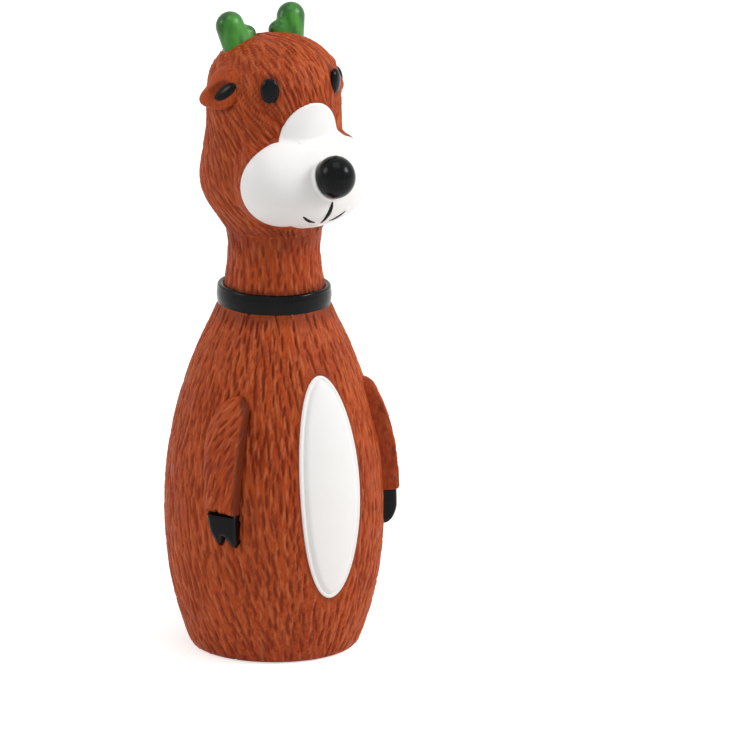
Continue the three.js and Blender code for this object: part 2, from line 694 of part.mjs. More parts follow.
// The reed hangs from the tube's top along Z. The seat lies behind it (+Y), the clamp in front (-Y).
const tubeTop = squeakerTop + SEAM + REED_TUBE_FLANGE_THICKNESS;
const reedTop = squeakerTop;
const reedBottom = reedTop - REED_LENGTH;
const seatBottom = reedBottom - REED_TRAVEL_MARGIN;
const seatFace = REED_THICKNESS / 2 + REED_SEAT_GAP;
const clampFace = REED_THICKNESS / 2 + SEAM;
const clampBottom = reedTop - REED_CLAMP_LENGTH;

const tubeBody = cylinder(REED_TUBE_RADIUS, seatBottom, squeakerTop + 2 * SEAM, SMALL_STEPS);
const tubeFlangeRadius = REED_TUBE_RADIUS + REED_TUBE_FLANGE_OVERHANG;
const tubeFlange = cylinder(tubeFlangeRadius, squeakerTop + SEAM, tubeTop, SMALL_STEPS);
const frontHalf = box(
  2 * flangeRadius,
  flangeRadius,
  seatBottom - OVERRUN,
  reedTop + SEAM,
  seatFace - flangeRadius / 2,
);
const channel = box(
  REED_CHANNEL_WIDTH,
  2 * REED_CHANNEL_DEPTH,
  seatBottom + REED_TRAVEL_MARGIN,
  tubeTop + OVERRUN,
  seatFace,
);
const reedSeat = tubeBody.add(tubeFlange).subtract(frontHalf).subtract(channel);

const backHalf = box(2 * flangeRadius, flangeRadius, -largest, largest, flangeRadius / 2 - clampFace);
const reedClamp = cylinder(REED_TUBE_RADIUS, clampBottom, squeakerTop, SMALL_STEPS).subtract(backHalf);

const reed = box(REED_WIDTH, REED_THICKNESS, reedBottom, reedTop, 0);

// Stuffing: fills the skin, hollowed round the squeaker, and parted at the bend of the neck

const bendHeight = THREE.MathUtils.lerp(neckBottom, headBottom, neckBendShare);
const squeakerRoom = [flangeRadius + SEAM, tubeTop + SEAM];

function fibreRows(rows) {
  return rows.map(([r, z]) => [r - SEAM, z]);
}

const neckInner = grownBy(neckRows, -SKIN_WALL);
const bodyFibreTop = bendHeight - STUFFING_GAP;
const bodyFibreRows = [
  ...bodyInside,
  ...neckInner.filter(([, z]) => z < bodyFibreTop),
  [radiusAt(neckInner, bodyFibreTop), bodyFibreTop],
];
const bodyFibre = turned(
  [
    [squeakerRoom[0], lipTop + SEAM],
    [bodyInside[0][0] - SEAM, lipTop + SEAM],
    ...fibreRows(bodyFibreRows.slice(1)),
    [0, bodyFibreTop],
    [0, squeakerRoom[1]],
    [squeakerRoom[0], squeakerRoom[1]],
    [squeakerRoom[0], lipTop + SEAM],
  ],
  BULGE_STEPS,
);

const headFibreBottom = bendHeight + STUFFING_GAP;
const headFibreNeck = [
  [radiusAt(neckInner, headFibreBottom), headFibreBottom],
  ...neckInner.filter(([, z]) => z > headFibreBottom),
];
const neckFibre = onAxis(
  [...fibreRows(headFibreNeck), [headBottomRadius - SKIN_WALL - SEAM, headBottom + OVERRUN]],
  BULGE_STEPS,
);
const headFibre = headForm(-SKIN_WALL - SEAM, HEAD_HOLLOW_STEPS).subtract(belowNeckSeam).add(neckFibre);

// The toy

const toy = new THREE.Group();
const add = (name, shape, material) => toy.add(toMesh(name, shape, material));

add("body_shell", bodyShell, latex(BROWN));
add("belly_patch", bellyPatch, latex(WHITE));
add("collar", collarBand(0), gloss(BLACK));
add("neck_skin", neckSkin.subtract(collarGroove), latex(BROWN));
add("head_shell", headShell, latex(BROWN));
add("muzzle", muzzle, latex(WHITE));
add("nose", nose, gloss(BLACK));
for (const [side, word] of [[1, "left"], [-1, "right"]]) {
  add(`eye_${word}`, eye(side), gloss(BLACK));
  add(`ear_${word}`, ear(side), latex(BROWN));
  add(`ear_inner_${word}`, earInner(side, 0), gloss(BLACK));
  add(`antler_${word}`, antler(side), gloss(GREEN));
  add(`arm_${word}`, arm(side), latex(BROWN));
  add(`hoof_${word}`, hoof(side), gloss(BLACK));
}
for (const [name, places] of Object.entries(mouth)) {
  add(name, mouthLine(places, 0), gloss(BLACK));
}
add("squeaker_housing", squeakerHousing, plastic(PLASTIC));
add("squeaker_cap", squeakerCap, plastic(PLASTIC));
add("squeaker_reed_seat", reedSeat, plastic(PLASTIC));
add("squeaker_reed_clamp", reedClamp, plastic(PLASTIC));
add("squeaker_reed", reed, plastic(PLASTIC));
add("body_stuffing", bodyFibre, fibre(FIBRE));
add("head_stuffing", headFibre, fibre(FIBRE));

// The origin lies under the middle of the whole toy's box
const extents = new THREE.Box3().setFromObject(toy);
const middle = extents.getCenter(new THREE.Vector3());
toy.position.set(-middle.x, -middle.y, -extents.min.z);

const group = new THREE.Group();
group.add(toy);

export default group;
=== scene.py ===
# %% [markdown]
# A squeaky dog toy: a deer in the shape of a skittle
#
# The real toy is one hollow skin of soft latex. It is cast in a mould whose inside is cut with hundreds
# of short strokes, so the skin comes out looking like fur, and it is then painted by hand in zones:
# brown fur, a white belly and muzzle, green antlers, and glossy black for the rest. It is stuffed with
# fibre, and a small reed squeaker sits in its base.
#
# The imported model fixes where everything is. This lesson dresses that model: smooth carved skins in
# place of the coarse ones, and a painted finish for each. All forms are made in millimetres about the
# toy's own upright axis, and one function puts them in metres where the model stands.

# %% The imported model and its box
import math

import bmesh
import bpy
import numpy as np
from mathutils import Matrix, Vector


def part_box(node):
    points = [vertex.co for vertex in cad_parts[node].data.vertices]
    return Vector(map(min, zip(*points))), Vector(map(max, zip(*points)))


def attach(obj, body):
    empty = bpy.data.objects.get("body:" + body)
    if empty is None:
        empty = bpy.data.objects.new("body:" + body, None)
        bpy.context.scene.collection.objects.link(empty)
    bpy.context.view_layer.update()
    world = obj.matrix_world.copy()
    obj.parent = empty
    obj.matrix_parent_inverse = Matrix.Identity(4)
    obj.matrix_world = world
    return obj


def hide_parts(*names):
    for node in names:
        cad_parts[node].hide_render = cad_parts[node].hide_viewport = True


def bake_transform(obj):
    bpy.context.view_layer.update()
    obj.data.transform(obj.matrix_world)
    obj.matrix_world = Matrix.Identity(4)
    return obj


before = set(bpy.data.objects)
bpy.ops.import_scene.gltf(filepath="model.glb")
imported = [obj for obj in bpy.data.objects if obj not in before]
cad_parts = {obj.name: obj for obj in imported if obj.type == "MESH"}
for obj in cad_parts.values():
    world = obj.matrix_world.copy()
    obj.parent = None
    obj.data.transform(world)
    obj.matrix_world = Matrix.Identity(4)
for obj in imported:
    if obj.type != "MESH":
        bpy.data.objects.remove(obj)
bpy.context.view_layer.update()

squeaker_low, squeaker_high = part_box("squeaker_housing")
AXIS_Y = (squeaker_low[1] + squeaker_high[1]) / 2
print("The toy's axis stands at y =", round(AXIS_Y * 1000, 3), "mm")

# %% [markdown]
# The camera
#
# The photo was taken from a little above and from the toy's right, with a long lens, as its parallel
# upright lines show. A long lens far away gives the same flat look. The aim is a point beside the toy,
# so that it stands left of the middle as it does in the photo.

# %% The camera at the photo's angle
def add_object(name, data, place=(0, 0, 0), turn=(0, 0, 0)):
    """A new object in the scene."""
    made = bpy.data.objects.new(name, data)
    made.location, made.rotation_euler = place, turn
    bpy.context.scene.collection.objects.link(made)
    return made


def towards(azimuth, elevation):
    """The direction from the toy to a place round it and up, in radians; azimuth 0 is its front."""
    level = math.cos(elevation)
    return np.array([math.sin(azimuth) * level, -math.cos(azimuth) * level, math.sin(elevation)])


AZIMUTH, ELEVATION, DISTANCE = math.radians(-33), math.radians(15), 5.44
AIM_HEIGHT, AIM_ASIDE = 0.063, 0.0208
image_right = np.array([math.cos(AZIMUTH), math.sin(AZIMUTH), 0])
aim = np.array([0, AXIS_Y, AIM_HEIGHT]) + AIM_ASIDE * image_right
lens = bpy.data.cameras.new("camera")
lens.lens, lens.sensor_width = 1200, 36
from_here = aim + DISTANCE * towards(AZIMUTH, ELEVATION)
camera = add_object("camera", lens, from_here, (math.pi / 2 - ELEVATION, 0, AZIMUTH))
bpy.context.scene.camera = camera
print("Camera at", [round(v, 3) for v in camera.location])

# %% [markdown]
# Helpers for meshes
#
# Nearly every piece is a skin over rings of points: a turned body, a head, a nose. One function joins
# the rings with quads and closes the ends, and another turns the result into a Blender object. That
# one also checks which way the faces point, by the sign of the volume they enclose. The pieces are
# collected by the name of the model's node that each one replaces.

# %% From points in millimetres to an object
MM, pieces = 0.001, {}


def in_the_row(points):
    """Millimetres about the toy's axis become metres in the shared frame."""
    return np.asarray(points, float) * MM + np.array([0, AXIS_Y, 0])


def enclosed_volume(points, faces):
    total = 0
    for corners in (3, 4):
        ring = np.array([f for f in faces if len(f) == corners], int)
        for k in range(1, corners - 1) if len(ring) else []:
            a, b, c = points[ring[:, 0]], points[ring[:, k]], points[ring[:, k + 1]]
            total += np.einsum("ij,ij->", a, np.cross(b, c)) / 6
    return total


def make_object(name, points, faces, material=None, **attributes):
    points = np.asarray(points, float)
    if enclosed_volume(points, faces) < 0:
        faces = [face[::-1] for face in faces]
    mesh = bpy.data.meshes.new(name)
    mesh.from_pydata(in_the_row(points).tolist(), [], faces)
    for attribute, values in attributes.items():
        values = np.asarray(values, float)
        is_vector = values.ndim == 2
        layer = mesh.attributes.new(attribute, "FLOAT_VECTOR" if is_vector else "FLOAT", "POINT")
        layer.data.foreach_set("vector" if is_vector else "value", values.ravel())
    mesh.shade_smooth()
    if material:
        mesh.materials.append(material)
    print(f"{name}: {len(points)} points, {len(faces)} faces")
    return add_object(name, mesh)

# %% A skin over rings
def ring_skin(rings, first=None, last=None):
    """Points and faces over rings. Two end points close them, or the last ring meets the first."""
    count, columns = rings.shape[:2]
    index = np.arange(count * columns).reshape(count, columns)
    if first is None:
        index = np.vstack([index, index[:1]])
    beside = np.roll(index, -1, axis=1)
    quads = np.stack([index[:-1], beside[:-1], beside[1:], index[1:]], axis=-1).reshape(-1, 4)
    points, faces = rings.reshape(-1, 3), quads.tolist()
    if first is not None:
        points = np.vstack([points, first, last])
        low, high = len(points) - 2, len(points) - 1
        faces += [[low, b, a] for a, b in zip(index[0].tolist(), beside[0].tolist())]
        faces += [[high, a, b] for a, b in zip(index[-1].tolist(), beside[-1].tolist())]
    return points, faces


def pillow(front, back):
    """Points and faces of a patch with a front and a back grid, joined round its border."""
    rows, columns = front.shape[:2]
    index = np.arange(rows * columns).reshape(rows, columns)
    quads = np.stack([index[:-1, :-1], index[:-1, 1:], index[1:, 1:], index[1:, :-1]], axis=-1).reshape(-1, 4)
    behind = quads[:, ::-1] + rows * columns
    border = np.concatenate([index[0, :-1], index[:-1, -1], index[-1, :0:-1], index[:0:-1, 0]])
    following = np.roll(border, -1)
    sides = np.stack([following, border, border + rows * columns, following + rows * columns], axis=-1)
    points = np.concatenate([front.reshape(-1, 3), back.reshape(-1, 3)])
    return points, np.concatenate([quads, behind, sides]).tolist()

# %% Curves and steps
SIDES = ((1, "left"), (-1, "right"))


def smooth_curve(points, count):
    """Even steps along the smooth curve through a table of points."""
    p = np.asarray(points, float)
    t = np.linspace(0, len(p) - 1, 40 * len(p))
    k = np.minimum(t.astype(int), len(p) - 2)
    f = (t - k)[:, None]
    before, here, after = p[np.maximum(k - 1, 0)], p[k], p[k + 1]
    beyond = p[np.minimum(k + 2, len(p) - 1)]
    slope, next_slope = (after - before) / 2, (beyond - here) / 2
    fine = here + slope * f + (3 * (after - here) - 2 * slope - next_slope) * f**2
    fine = fine + (2 * (here - after) + slope + next_slope) * f**3
    run = np.concatenate([[0], np.cumsum(np.linalg.norm(np.diff(fine, axis=0), axis=1))])
    even = np.linspace(0, run[-1], count)
    return np.stack([np.interp(even, run, fine[:, axis]) for axis in range(p.shape[1])], axis=1)


def smooth_step(low, high, value):
    t = np.clip((np.asarray(value, float) - low) / (high - low), 0, 1)
    return t * t * (3 - 2 * t)


def fading(low, high, value):
    """1 up to the low value, 0 from the high one on."""
    return 1 - smooth_step(low, high, value)


def carried(lean_at, height):
    """How far a lean that depends on the height alone carries the fur, from the floor to each height."""
    steps = np.linspace(0, 145, 600)
    so_far = np.concatenate([[0], np.cumsum(lean_at(steps)[:-1] * np.diff(steps))])
    return np.interp(height, steps, so_far)


def full_turn(columns, start=-np.pi):
    """Even steps all the way round, from the back where no start is given."""
    return np.linspace(start, start + 2 * np.pi, columns, endpoint=False)


def round_axis(radius, angle, height):
    """Points at a radius, an angle from the front and a height."""
    return np.stack([radius * np.sin(angle), -radius * np.cos(angle), height + 0 * angle], axis=-1)


def turned(profile, columns):
    """Rings of a turned form; the seam of the rings lies at the back."""
    return round_axis(profile[:, :1], full_turn(columns), profile[:, 1:2])

# %% [markdown]
# Helpers for nodes and colours
#
# Paint colours are picked as sRGB hex values, the way a picker shows them, while a shader wants linear
# light. One function does that change. One more adds a node, sets it and links it, for materials and
# for Geometry Nodes alike; a node given as an input stands for its first output in use. Some inputs
# are known by number. Map Range takes its value at 0, the range it comes in at 1 and 2, and the range
# it leaves in at 3 and 4. Mix takes its amount at 0 and its colours at 6 and 7.

# %% Colours, pattern sizes and nodes
NOISE, RANGE, MIX = "ShaderNodeTexNoise", "ShaderNodeMapRange", "ShaderNodeMix"
MATH, VECTOR_MATH, BUMP = "ShaderNodeMath", "ShaderNodeVectorMath", "ShaderNodeBump"


def colour(hex_code):
    """An sRGB hex value as linear light."""
    parts = [int(hex_code[k : k + 2], 16) / 255 for k in (1, 3, 5)]
    return [p / 12.92 if p <= 0.04045 else ((p + 0.055) / 1.055) ** 2.4 for p in parts] + [1]


def blotches(millimetres):
    """The scale at which a noise on Object coordinates has blotches of about this size."""
    return 1000 / millimetres


def feed(node, inputs):
    """Sets inputs, named or numbered, to values, to sockets or to other nodes."""
    for key, value in inputs.items():
        if isinstance(value, bpy.types.Node):
            value = next(socket for socket in value.outputs if socket.enabled)
        if isinstance(value, bpy.types.NodeSocket):
            node.id_data.links.new(value, node.inputs[key])
        else:
            node.inputs[key].default_value = value
    return node


def add(tree, kind, inputs=None, **properties):
    """Adds a node with its properties and inputs."""
    node = tree.nodes.new(kind)
    for name, value in properties.items():
        setattr(node, name, value)
    return feed(node, inputs or {})

# %% New materials
def new_material(name, base, roughness, **constants):
    """A material with its shader's constant values; returns it with its tree, shader and coordinates."""
    material = bpy.data.materials.new(name)
    material.use_nodes = True
    tree = material.node_tree
    shader = tree.nodes["Principled BSDF"]
    constants = {key.replace("_", " "): value for key, value in constants.items()}
    feed(shader, {"Base Color": colour(base), "Roughness": roughness} | constants)
    return material, tree, shader, add(tree, "ShaderNodeTexCoord").outputs["Object"]


def mottled(name, base, roughness, hues, patch, grain, strength, distance, detail=2, **constants):
    """A finish that drifts between two hues in patches, over a fine grain; sizes in millimetres."""
    material, tree, shader, where = new_material(name, base, roughness, **constants)
    patches = add(tree, NOISE, {"Vector": where, "Scale": blotches(patch), "Detail": detail})
    tint = add(tree, MIX, {0: patches, 6: colour(hues[0]), 7: colour(hues[1])}, data_type="RGBA")
    grains = add(tree, NOISE, {"Vector": where, "Scale": blotches(grain), "Detail": detail})
    bump = add(tree, BUMP, {"Height": grains, "Strength": strength, "Distance": distance})
    feed(shader, {"Base Color": tint, "Normal": bump})
    return material

# %% [markdown]
# Finish 1: painted brown latex with carved fur
#
# The skin takes a coat of reddish brown. The eye reads it as fur: dark slits, paler crests between them,
# and a soft sheen that breaks up on the relief. The slits are darker partly from a darker paint in the
# cuts and partly from painted shade. The crests are paler partly where the brush dragged and partly from
# a painted highlight. A further layer is painted shade in the creases: under the collar and the chin, round
# the belly, the eyes and the white zone, round and inside the ears, beside the arms and on their front
# flanks. The Geometry Nodes tree further on stores where the cuts and crests are, so the paint can follow
# them exactly. Finer hairs than a mesh can carry are drawn by a noise, about half a millimetre across,
# stretched along the "lie" attribute: each point's place with the lean of the fur taken out, so that
# stretching it upright makes lines that follow the fur.

# %% The brown paint
BROWN, tree, shader, where = new_material(
    "Painted brown latex with carved fur", "#ab4012", 0.52, Specular_IOR_Level=0.17
)
lie = add(tree, "ShaderNodeAttribute", attribute_name="lie").outputs["Vector"]
marks = [add(tree, "ShaderNodeAttribute", attribute_name=name) for name in ("cut", "crest", "wash")]
cut, crest, wash = (mark.outputs["Fac"] for mark in marks)
broad = add(tree, NOISE, {"Vector": where, "Scale": blotches(11), "Detail": 3})
drag = add(tree, "ShaderNodeMapping", {"Vector": lie, "Scale": (1, 1, 0.17)})
hairs = {"Vector": drag, "Scale": blotches(0.6), "Detail": 3, "Roughness": 0.55}
streaks = add(tree, NOISE, hairs)
uneven = add(tree, RANGE, {0: broad, 1: 0.3, 2: 0.7})
thin = add(tree, RANGE, {0: streaks, 1: 0.5, 2: 0.76, 3: 0, 4: 0.55})
# Paler crests: partly dry-brushed paint, partly a painted highlight on the ridges.
pale = add(tree, MATH, {0: crest, 1: 0.42}, operation="MULTIPLY")
lined = add(tree, RANGE, {0: streaks, 1: 0.34, 2: 0.46, 3: 0.5, 4: 0})
# Darker cuts: partly a darker paint, partly painted shade in the slits.
dark = add(tree, MATH, {0: cut, 1: 0.6}, operation="MULTIPLY")
paint = colour("#a03a11")
# The last layer is painted shade in the creases.
for amount, hue in (
    (uneven, "#b64c1a"), (thin, "#cc693a"), (pale, "#d87d4e"),
    (lined, "#74240a"), (dark, "#74240a"), (wash, "#5a210c"),
):
    paint = add(tree, MIX, {0: amount, 6: paint, 7: colour(hue)}, data_type="RGBA")
sheen = add(tree, RANGE, {0: streaks, 1: 0.3, 2: 0.7, 3: 0.46, 4: 0.6})
grain = add(tree, NOISE, {"Vector": where, "Scale": blotches(0.4), "Detail": 2})
relief = add(tree, MATH, {0: streaks, 1: grain}, operation="ADD")
bump = add(tree, BUMP, {"Height": relief, "Strength": 0.4, "Distance": 0.00016})
feed(shader, {"Base Color": paint, "Roughness": sheen, "Normal": bump})

# %% [markdown]
# Finishes 2 to 4: white, black and green paint
#
# The white is a thick satin coat that fills the cuts, so it is smooth, with only the faintest waviness.
# The black and the green are glossy: soft broad highlights, a little uneven, because the coats are
# brushed on a rubbery skin and not on glass. The green's paler upright patches are partly uneven
# brushing and partly painted highlight streaks.

# %% The white, black and green paint
def brushed_gloss(name, deep, pale, low_gloss, high_gloss, patch, mirror):
    """A glossy coat whose colour and gloss vary in patches of a size in millimetres."""
    material, tree, shader, where = new_material(name, deep, low_gloss, Specular_IOR_Level=mirror)
    upright = add(tree, "ShaderNodeMapping", {"Vector": where, "Scale": (1, 1, 0.4)})
    patches = add(tree, NOISE, {"Vector": upright, "Scale": blotches(patch), "Detail": 2})
    amount = add(tree, RANGE, {0: patches, 1: 0.4, 2: 0.66})
    tint = add(tree, MIX, {0: amount, 6: colour(deep), 7: colour(pale)}, data_type="RGBA")
    gloss = add(tree, RANGE, {0: patches, 1: 0.3, 2: 0.7, 3: low_gloss, 4: high_gloss})
    skin = add(tree, NOISE, {"Vector": where, "Scale": blotches(0.9), "Detail": 3})
    bump = add(tree, BUMP, {"Height": skin, "Strength": 0.3, "Distance": 0.0001})
    feed(shader, {"Base Color": tint, "Roughness": gloss, "Normal": bump})
    return material


WHITE = mottled(
    "Thick satin white latex paint", "#f9f8f6", 0.36, ("#f7f5f3", "#fcfbfa"), patch=5, grain=1.6,
    strength=0.2, distance=0.0001, Specular_IOR_Level=0.3,
)
BLACK = brushed_gloss("Brushed gloss black latex paint", "#050607", "#0d0f11", 0.16, 0.26, 4, mirror=0.12)
# The green's paler upright patches are partly uneven brushing and partly painted highlight streaks.
GREEN = brushed_gloss("Brushed gloss green latex paint", "#155a0e", "#46952f", 0.26, 0.38, 3.4, mirror=0.36)

# %% [markdown]
# The fur strokes
#
# Each stroke of the mould maker's tool is a short spindle, two to four millimetres long and well under
# one wide. Hundreds of them follow the flow of the fur. This repeats over a surface, so Geometry Nodes
# do it: points are scattered with a least distance between them, a flat spindle is laid on each, turned
# along the flow, and the skin sinks wherever a spindle lies on it. The same is done again with thinner
# spindles, where the skin rises instead, for the crests. Both are stored as attributes for the paint.
#
# The skin brings two attributes of its own: "flow", the way the fur lies, and "furry", where it grows.

# %% One set of strokes
def stroke_mask(tree, given, seed_shift, length, width):
    """How much each point of the skin is covered by its nearest stroke, from 0 to 1."""
    seed = add(tree, "FunctionNodeIntegerMath", {0: given["Seed"], 1: seed_shift}, operation="ADD")
    growth = {
        "Mesh": given["Skin"],
        "Distance Min": given["Stroke spacing"],
        "Density Max": given["Strokes per square metre"],
        "Density Factor": add(tree, "GeometryNodeInputNamedAttribute", {"Name": "furry"}, data_type="FLOAT"),
        "Seed": seed,
    }
    scatter = add(tree, "GeometryNodeDistributePointsOnFaces", growth, distribute_method="POISSON")
    flow = add(tree, "GeometryNodeInputNamedAttribute", {"Name": "flow"}, data_type="FLOAT_VECTOR")
    by_chance = {0: (-0.16, -0.16, -0.16), 1: (0.16, 0.16, 0.16), "Seed": seed}
    stray = add(tree, "FunctionNodeRandomValue", by_chance, data_type="FLOAT_VECTOR")
    lie = add(tree, VECTOR_MATH, {0: flow, 1: stray}, operation="ADD")
    flat = add(tree, "FunctionNodeAlignRotationToVector", {"Vector": scatter.outputs["Normal"]}, axis="Z")
    leant = {"Rotation": flat, "Vector": lie}
    along = add(tree, "FunctionNodeAlignRotationToVector", leant, axis="X", pivot_axis="Z")
    disc = add(tree, "GeometryNodeMeshCircle", {"Vertices": 12, "Radius": 0.5}, fill_type="NGON")
    parts = add(tree, "ShaderNodeSeparateXYZ", {0: add(tree, "GeometryNodeInputPosition")})
    x, y = parts.outputs["X"], parts.outputs["Y"]
    square = add(tree, MATH, {0: x, 1: x}, operation="MULTIPLY")
    narrow = add(tree, MATH, {0: square, 1: -2.4, 2: 1}, operation="MULTIPLY_ADD")
    side = add(tree, MATH, {0: y, 1: narrow}, operation="MULTIPLY")
    pointed = add(tree, "ShaderNodeCombineXYZ", {0: x, 1: side})
    spindle = add(tree, "GeometryNodeSetPosition", {"Geometry": disc, "Position": pointed})
    size = add(tree, "ShaderNodeCombineXYZ", {0: length, 1: width, 2: 1})
    by_chance = {0: (0.6, 0.6, 1), 1: (1.35, 1.5, 1), "Seed": seed}
    vary = add(tree, "FunctionNodeRandomValue", by_chance, data_type="FLOAT_VECTOR")
    scale = add(tree, VECTOR_MATH, {0: size, 1: vary}, operation="MULTIPLY")
    laying = {"Points": scatter, "Instance": spindle, "Rotation": along, "Scale": scale}
    laid = add(tree, "GeometryNodeRealizeInstances", {0: add(tree, "GeometryNodeInstanceOnPoints", laying)})
    reach = add(tree, "GeometryNodeProximity", {0: laid}, target_element="FACES")
    falloff = {0: reach.outputs["Distance"], 1: 0, 2: given["Soft edge"], 3: 1, 4: 0}
    return add(tree, RANGE, falloff, interpolation_type="SMOOTHSTEP")

# %% The carving tree
tree = bpy.data.node_groups.new("Carved fur", "GeometryNodeTree")
for name, kind, start in (
    ("Skin", "Geometry", None),
    ("Stroke spacing", "Float", 0.00142),
    ("Strokes per square metre", "Float", 330000),
    ("Stroke length", "Float", 0.0031),
    ("Stroke width", "Float", 0.00036),
    ("Cut depth", "Float", 0.00036),
    ("Crest height", "Float", 0.00016),
    ("Soft edge", "Float", 0.00024),
    ("Seed", "Int", 1),
    ("Paint", "Material", None),
):
    socket = tree.interface.new_socket(name, in_out="INPUT", socket_type="NodeSocket" + kind)
    if start is not None:
        socket.default_value = start
tree.interface.new_socket("Skin", in_out="OUTPUT", socket_type="NodeSocketGeometry")
given = add(tree, "NodeGroupInput").outputs
length, width = given["Stroke length"], given["Stroke width"]
finer = add(tree, MATH, {0: width, 1: 0.6}, operation="MULTIPLY")
cut = stroke_mask(tree, given, 0, length, width)
crest = stroke_mask(tree, given, 100, length, finer)
sink = add(tree, MATH, {0: cut, 1: given["Cut depth"]}, operation="MULTIPLY")
lift = add(tree, MATH, {0: crest, 1: given["Crest height"]}, operation="MULTIPLY")
change = add(tree, MATH, {0: lift, 1: sink}, operation="SUBTRACT")
outward = add(tree, "GeometryNodeInputNormal")
shift = add(tree, VECTOR_MATH, {0: outward, 3: change}, operation="SCALE")
skin = given["Skin"]
for name, mask in (("cut", cut), ("crest", crest)):
    kept = {"Geometry": skin, "Name": name, "Value": mask}
    skin = add(tree, "GeometryNodeStoreNamedAttribute", kept, data_type="FLOAT", domain="POINT")
carved = add(tree, "GeometryNodeSetPosition", {"Geometry": skin, "Offset": shift})
real = add(tree, "GeometryNodeRealizeInstances", {0: carved})
painted = add(tree, "GeometryNodeSetMaterial", {"Geometry": real, "Material": given["Paint"]})
add(tree, "NodeGroupOutput", {0: painted})
CARVING = tree

# %% Carving one skin
def carve(skin, seed, **sizes):
    """Runs the carving tree on a skin and keeps the plain mesh. Sizes are in metres."""
    modifier = skin.modifiers.new("Carved fur", "NODES")
    modifier.node_group = CARVING
    wanted = {name.replace("_", " ").capitalize(): value for name, value in sizes.items()}
    wanted |= {"Seed": seed, "Paint": BROWN}
    for socket in CARVING.interface.items_tree:
        if socket.in_out == "INPUT" and socket.name in wanted:
            modifier[socket.identifier] = wanted[socket.name]
    evaluated = skin.evaluated_get(bpy.context.evaluated_depsgraph_get())
    mesh = bpy.data.meshes.new_from_object(evaluated)
    skin.modifiers.remove(modifier)
    skin.data = mesh
    covered = np.empty(len(mesh.vertices), np.float32)
    mesh.attributes["cut"].data.foreach_get("value", covered)
    print(f"{skin.name}: {100 * float((covered > 0.5).mean()):.0f}% of its points lie in a cut")
    return skin

# %% [markdown]
# The body skin
#
# The body is a skittle: widest low down, drawn in to the collar, so a turned form is the natural way to
# make it. The profile is a smooth curve through a table of shares of the body's radius and height. The
# real skin is hollow, so the wall has an inside too, and a lip round the hole in the base that the
# squeaker clips into. The rings are close together, so that the strokes have points to move.
#
# The fur lies straight down, and on the lower half it leans towards the front, as the strokes do in
# the photo.

# %% The body's sizes
BODY_HEIGHT, BODY_RADIUS, SKIN_WALL = 80.3, 24.3, 2.2
BODY_FUR_TOP, NECK_FUR_FADES, HEAD_FUR_GROWS = 77.2, (94.8, 95.4), (95.6, 96.3)
BODY_SHARES = [
    (0.638, 0), (0.73, 0.003), (0.785, 0.028), (0.834, 0.07), (0.902, 0.137), (0.965, 0.235), (1, 0.36),
    (0.996, 0.47), (0.958, 0.575), (0.887, 0.68), (0.79, 0.778), (0.68, 0.865), (0.569, 0.935), (0.481, 1),
]
body_outside = smooth_curve([(r * BODY_RADIUS, z * BODY_HEIGHT) for r, z in BODY_SHARES], 140)


def body_radius(height):
    return np.interp(height, body_outside[:, 1], body_outside[:, 0])


BELLY_WIDTH, BELLY_LENGTH, BELLY_MIDDLE = 15.8, 50, 0.503 * BODY_HEIGHT
ARM_ANGLE = math.radians(60)


def belly_share(points):
    """1 on the belly's outline, less inside it, more outside; large at the back."""
    share = np.hypot(points[:, 0] / (BELLY_WIDTH / 2), (points[:, 2] - BELLY_MIDDLE) / (BELLY_LENGTH / 2))
    return np.where(points[:, 1] < 0, share, 9)

# %% The arm's outline
def outline_distance(x, z, outline):
    """Distance to a closed outline, positive inside it."""
    corners = np.asarray(outline, float)
    following = np.roll(corners, -1, axis=0)
    gap_here = np.full(x.shape, 1e9)
    inside_here = np.zeros(x.shape, bool)
    for (ax, az), (bx, bz) in zip(corners, following):
        dx, dz = bx - ax, bz - az
        share = np.clip(((x - ax) * dx + (z - az) * dz) / (dx * dx + dz * dz), 0, 1)
        gap_here = np.minimum(gap_here, np.hypot(x - ax - share * dx, z - az - share * dz))
        crosses = (az > z) != (bz > z)
        inside_here ^= crosses & (x < ax + (z - az) / (bz - az + 1e-12) * dx)
    return np.where(inside_here, gap_here, -gap_here)


ARM_OUTLINE = [
    (-3.7, 35.5), (-3.9, 42), (-4.1, 48.4), (-4.2, 54), (-4.1, 58.2), (-3.1, 60.2), (-1.6, 61.2),
    (0.6, 60.8), (3.2, 58.5), (4.9, 55), (5.4, 50.5), (5.1, 44.2), (4.6, 38.8), (4.1, 35.5),
]
arm_outline = smooth_curve(ARM_OUTLINE, 90)

# %% The body's rings
base_hole = [(9.6, 1.9), (9.6, 0.15), (9.75, 0), (12.5, 0)]
inside = smooth_curve([(body_radius(z) - SKIN_WALL, z) for z in np.linspace(78, 4, 12)], 14)
lip = [(8.2, 3.9), (8, 3.7), (8, 2.1), (8.2, 1.9)]
body_profile = np.vstack([base_hole, body_outside, [(11, 80.6), (9.6, 80.4)], inside, lip])
body_rings = turned(body_profile, 600)
body_points, body_faces = ring_skin(body_rings)
is_outside = np.zeros(body_rings.shape[:2], bool)
is_outside[len(base_hole) + 5 : len(base_hole) + len(body_outside) - 4] = True
is_outside = is_outside.ravel()

belly_edge = belly_share(body_points)
sunk = np.where(is_outside, fading(0.8, 0.93, belly_edge), 0)
outward = body_points * [1, 1, 0] / np.linalg.norm(body_points[:, :2], axis=1)[:, None]
body_points = body_points - outward * sunk[:, None]

# %% The body's fur and its carving
def body_lean(height):
    return 0.3 * fading(18, 52, height)


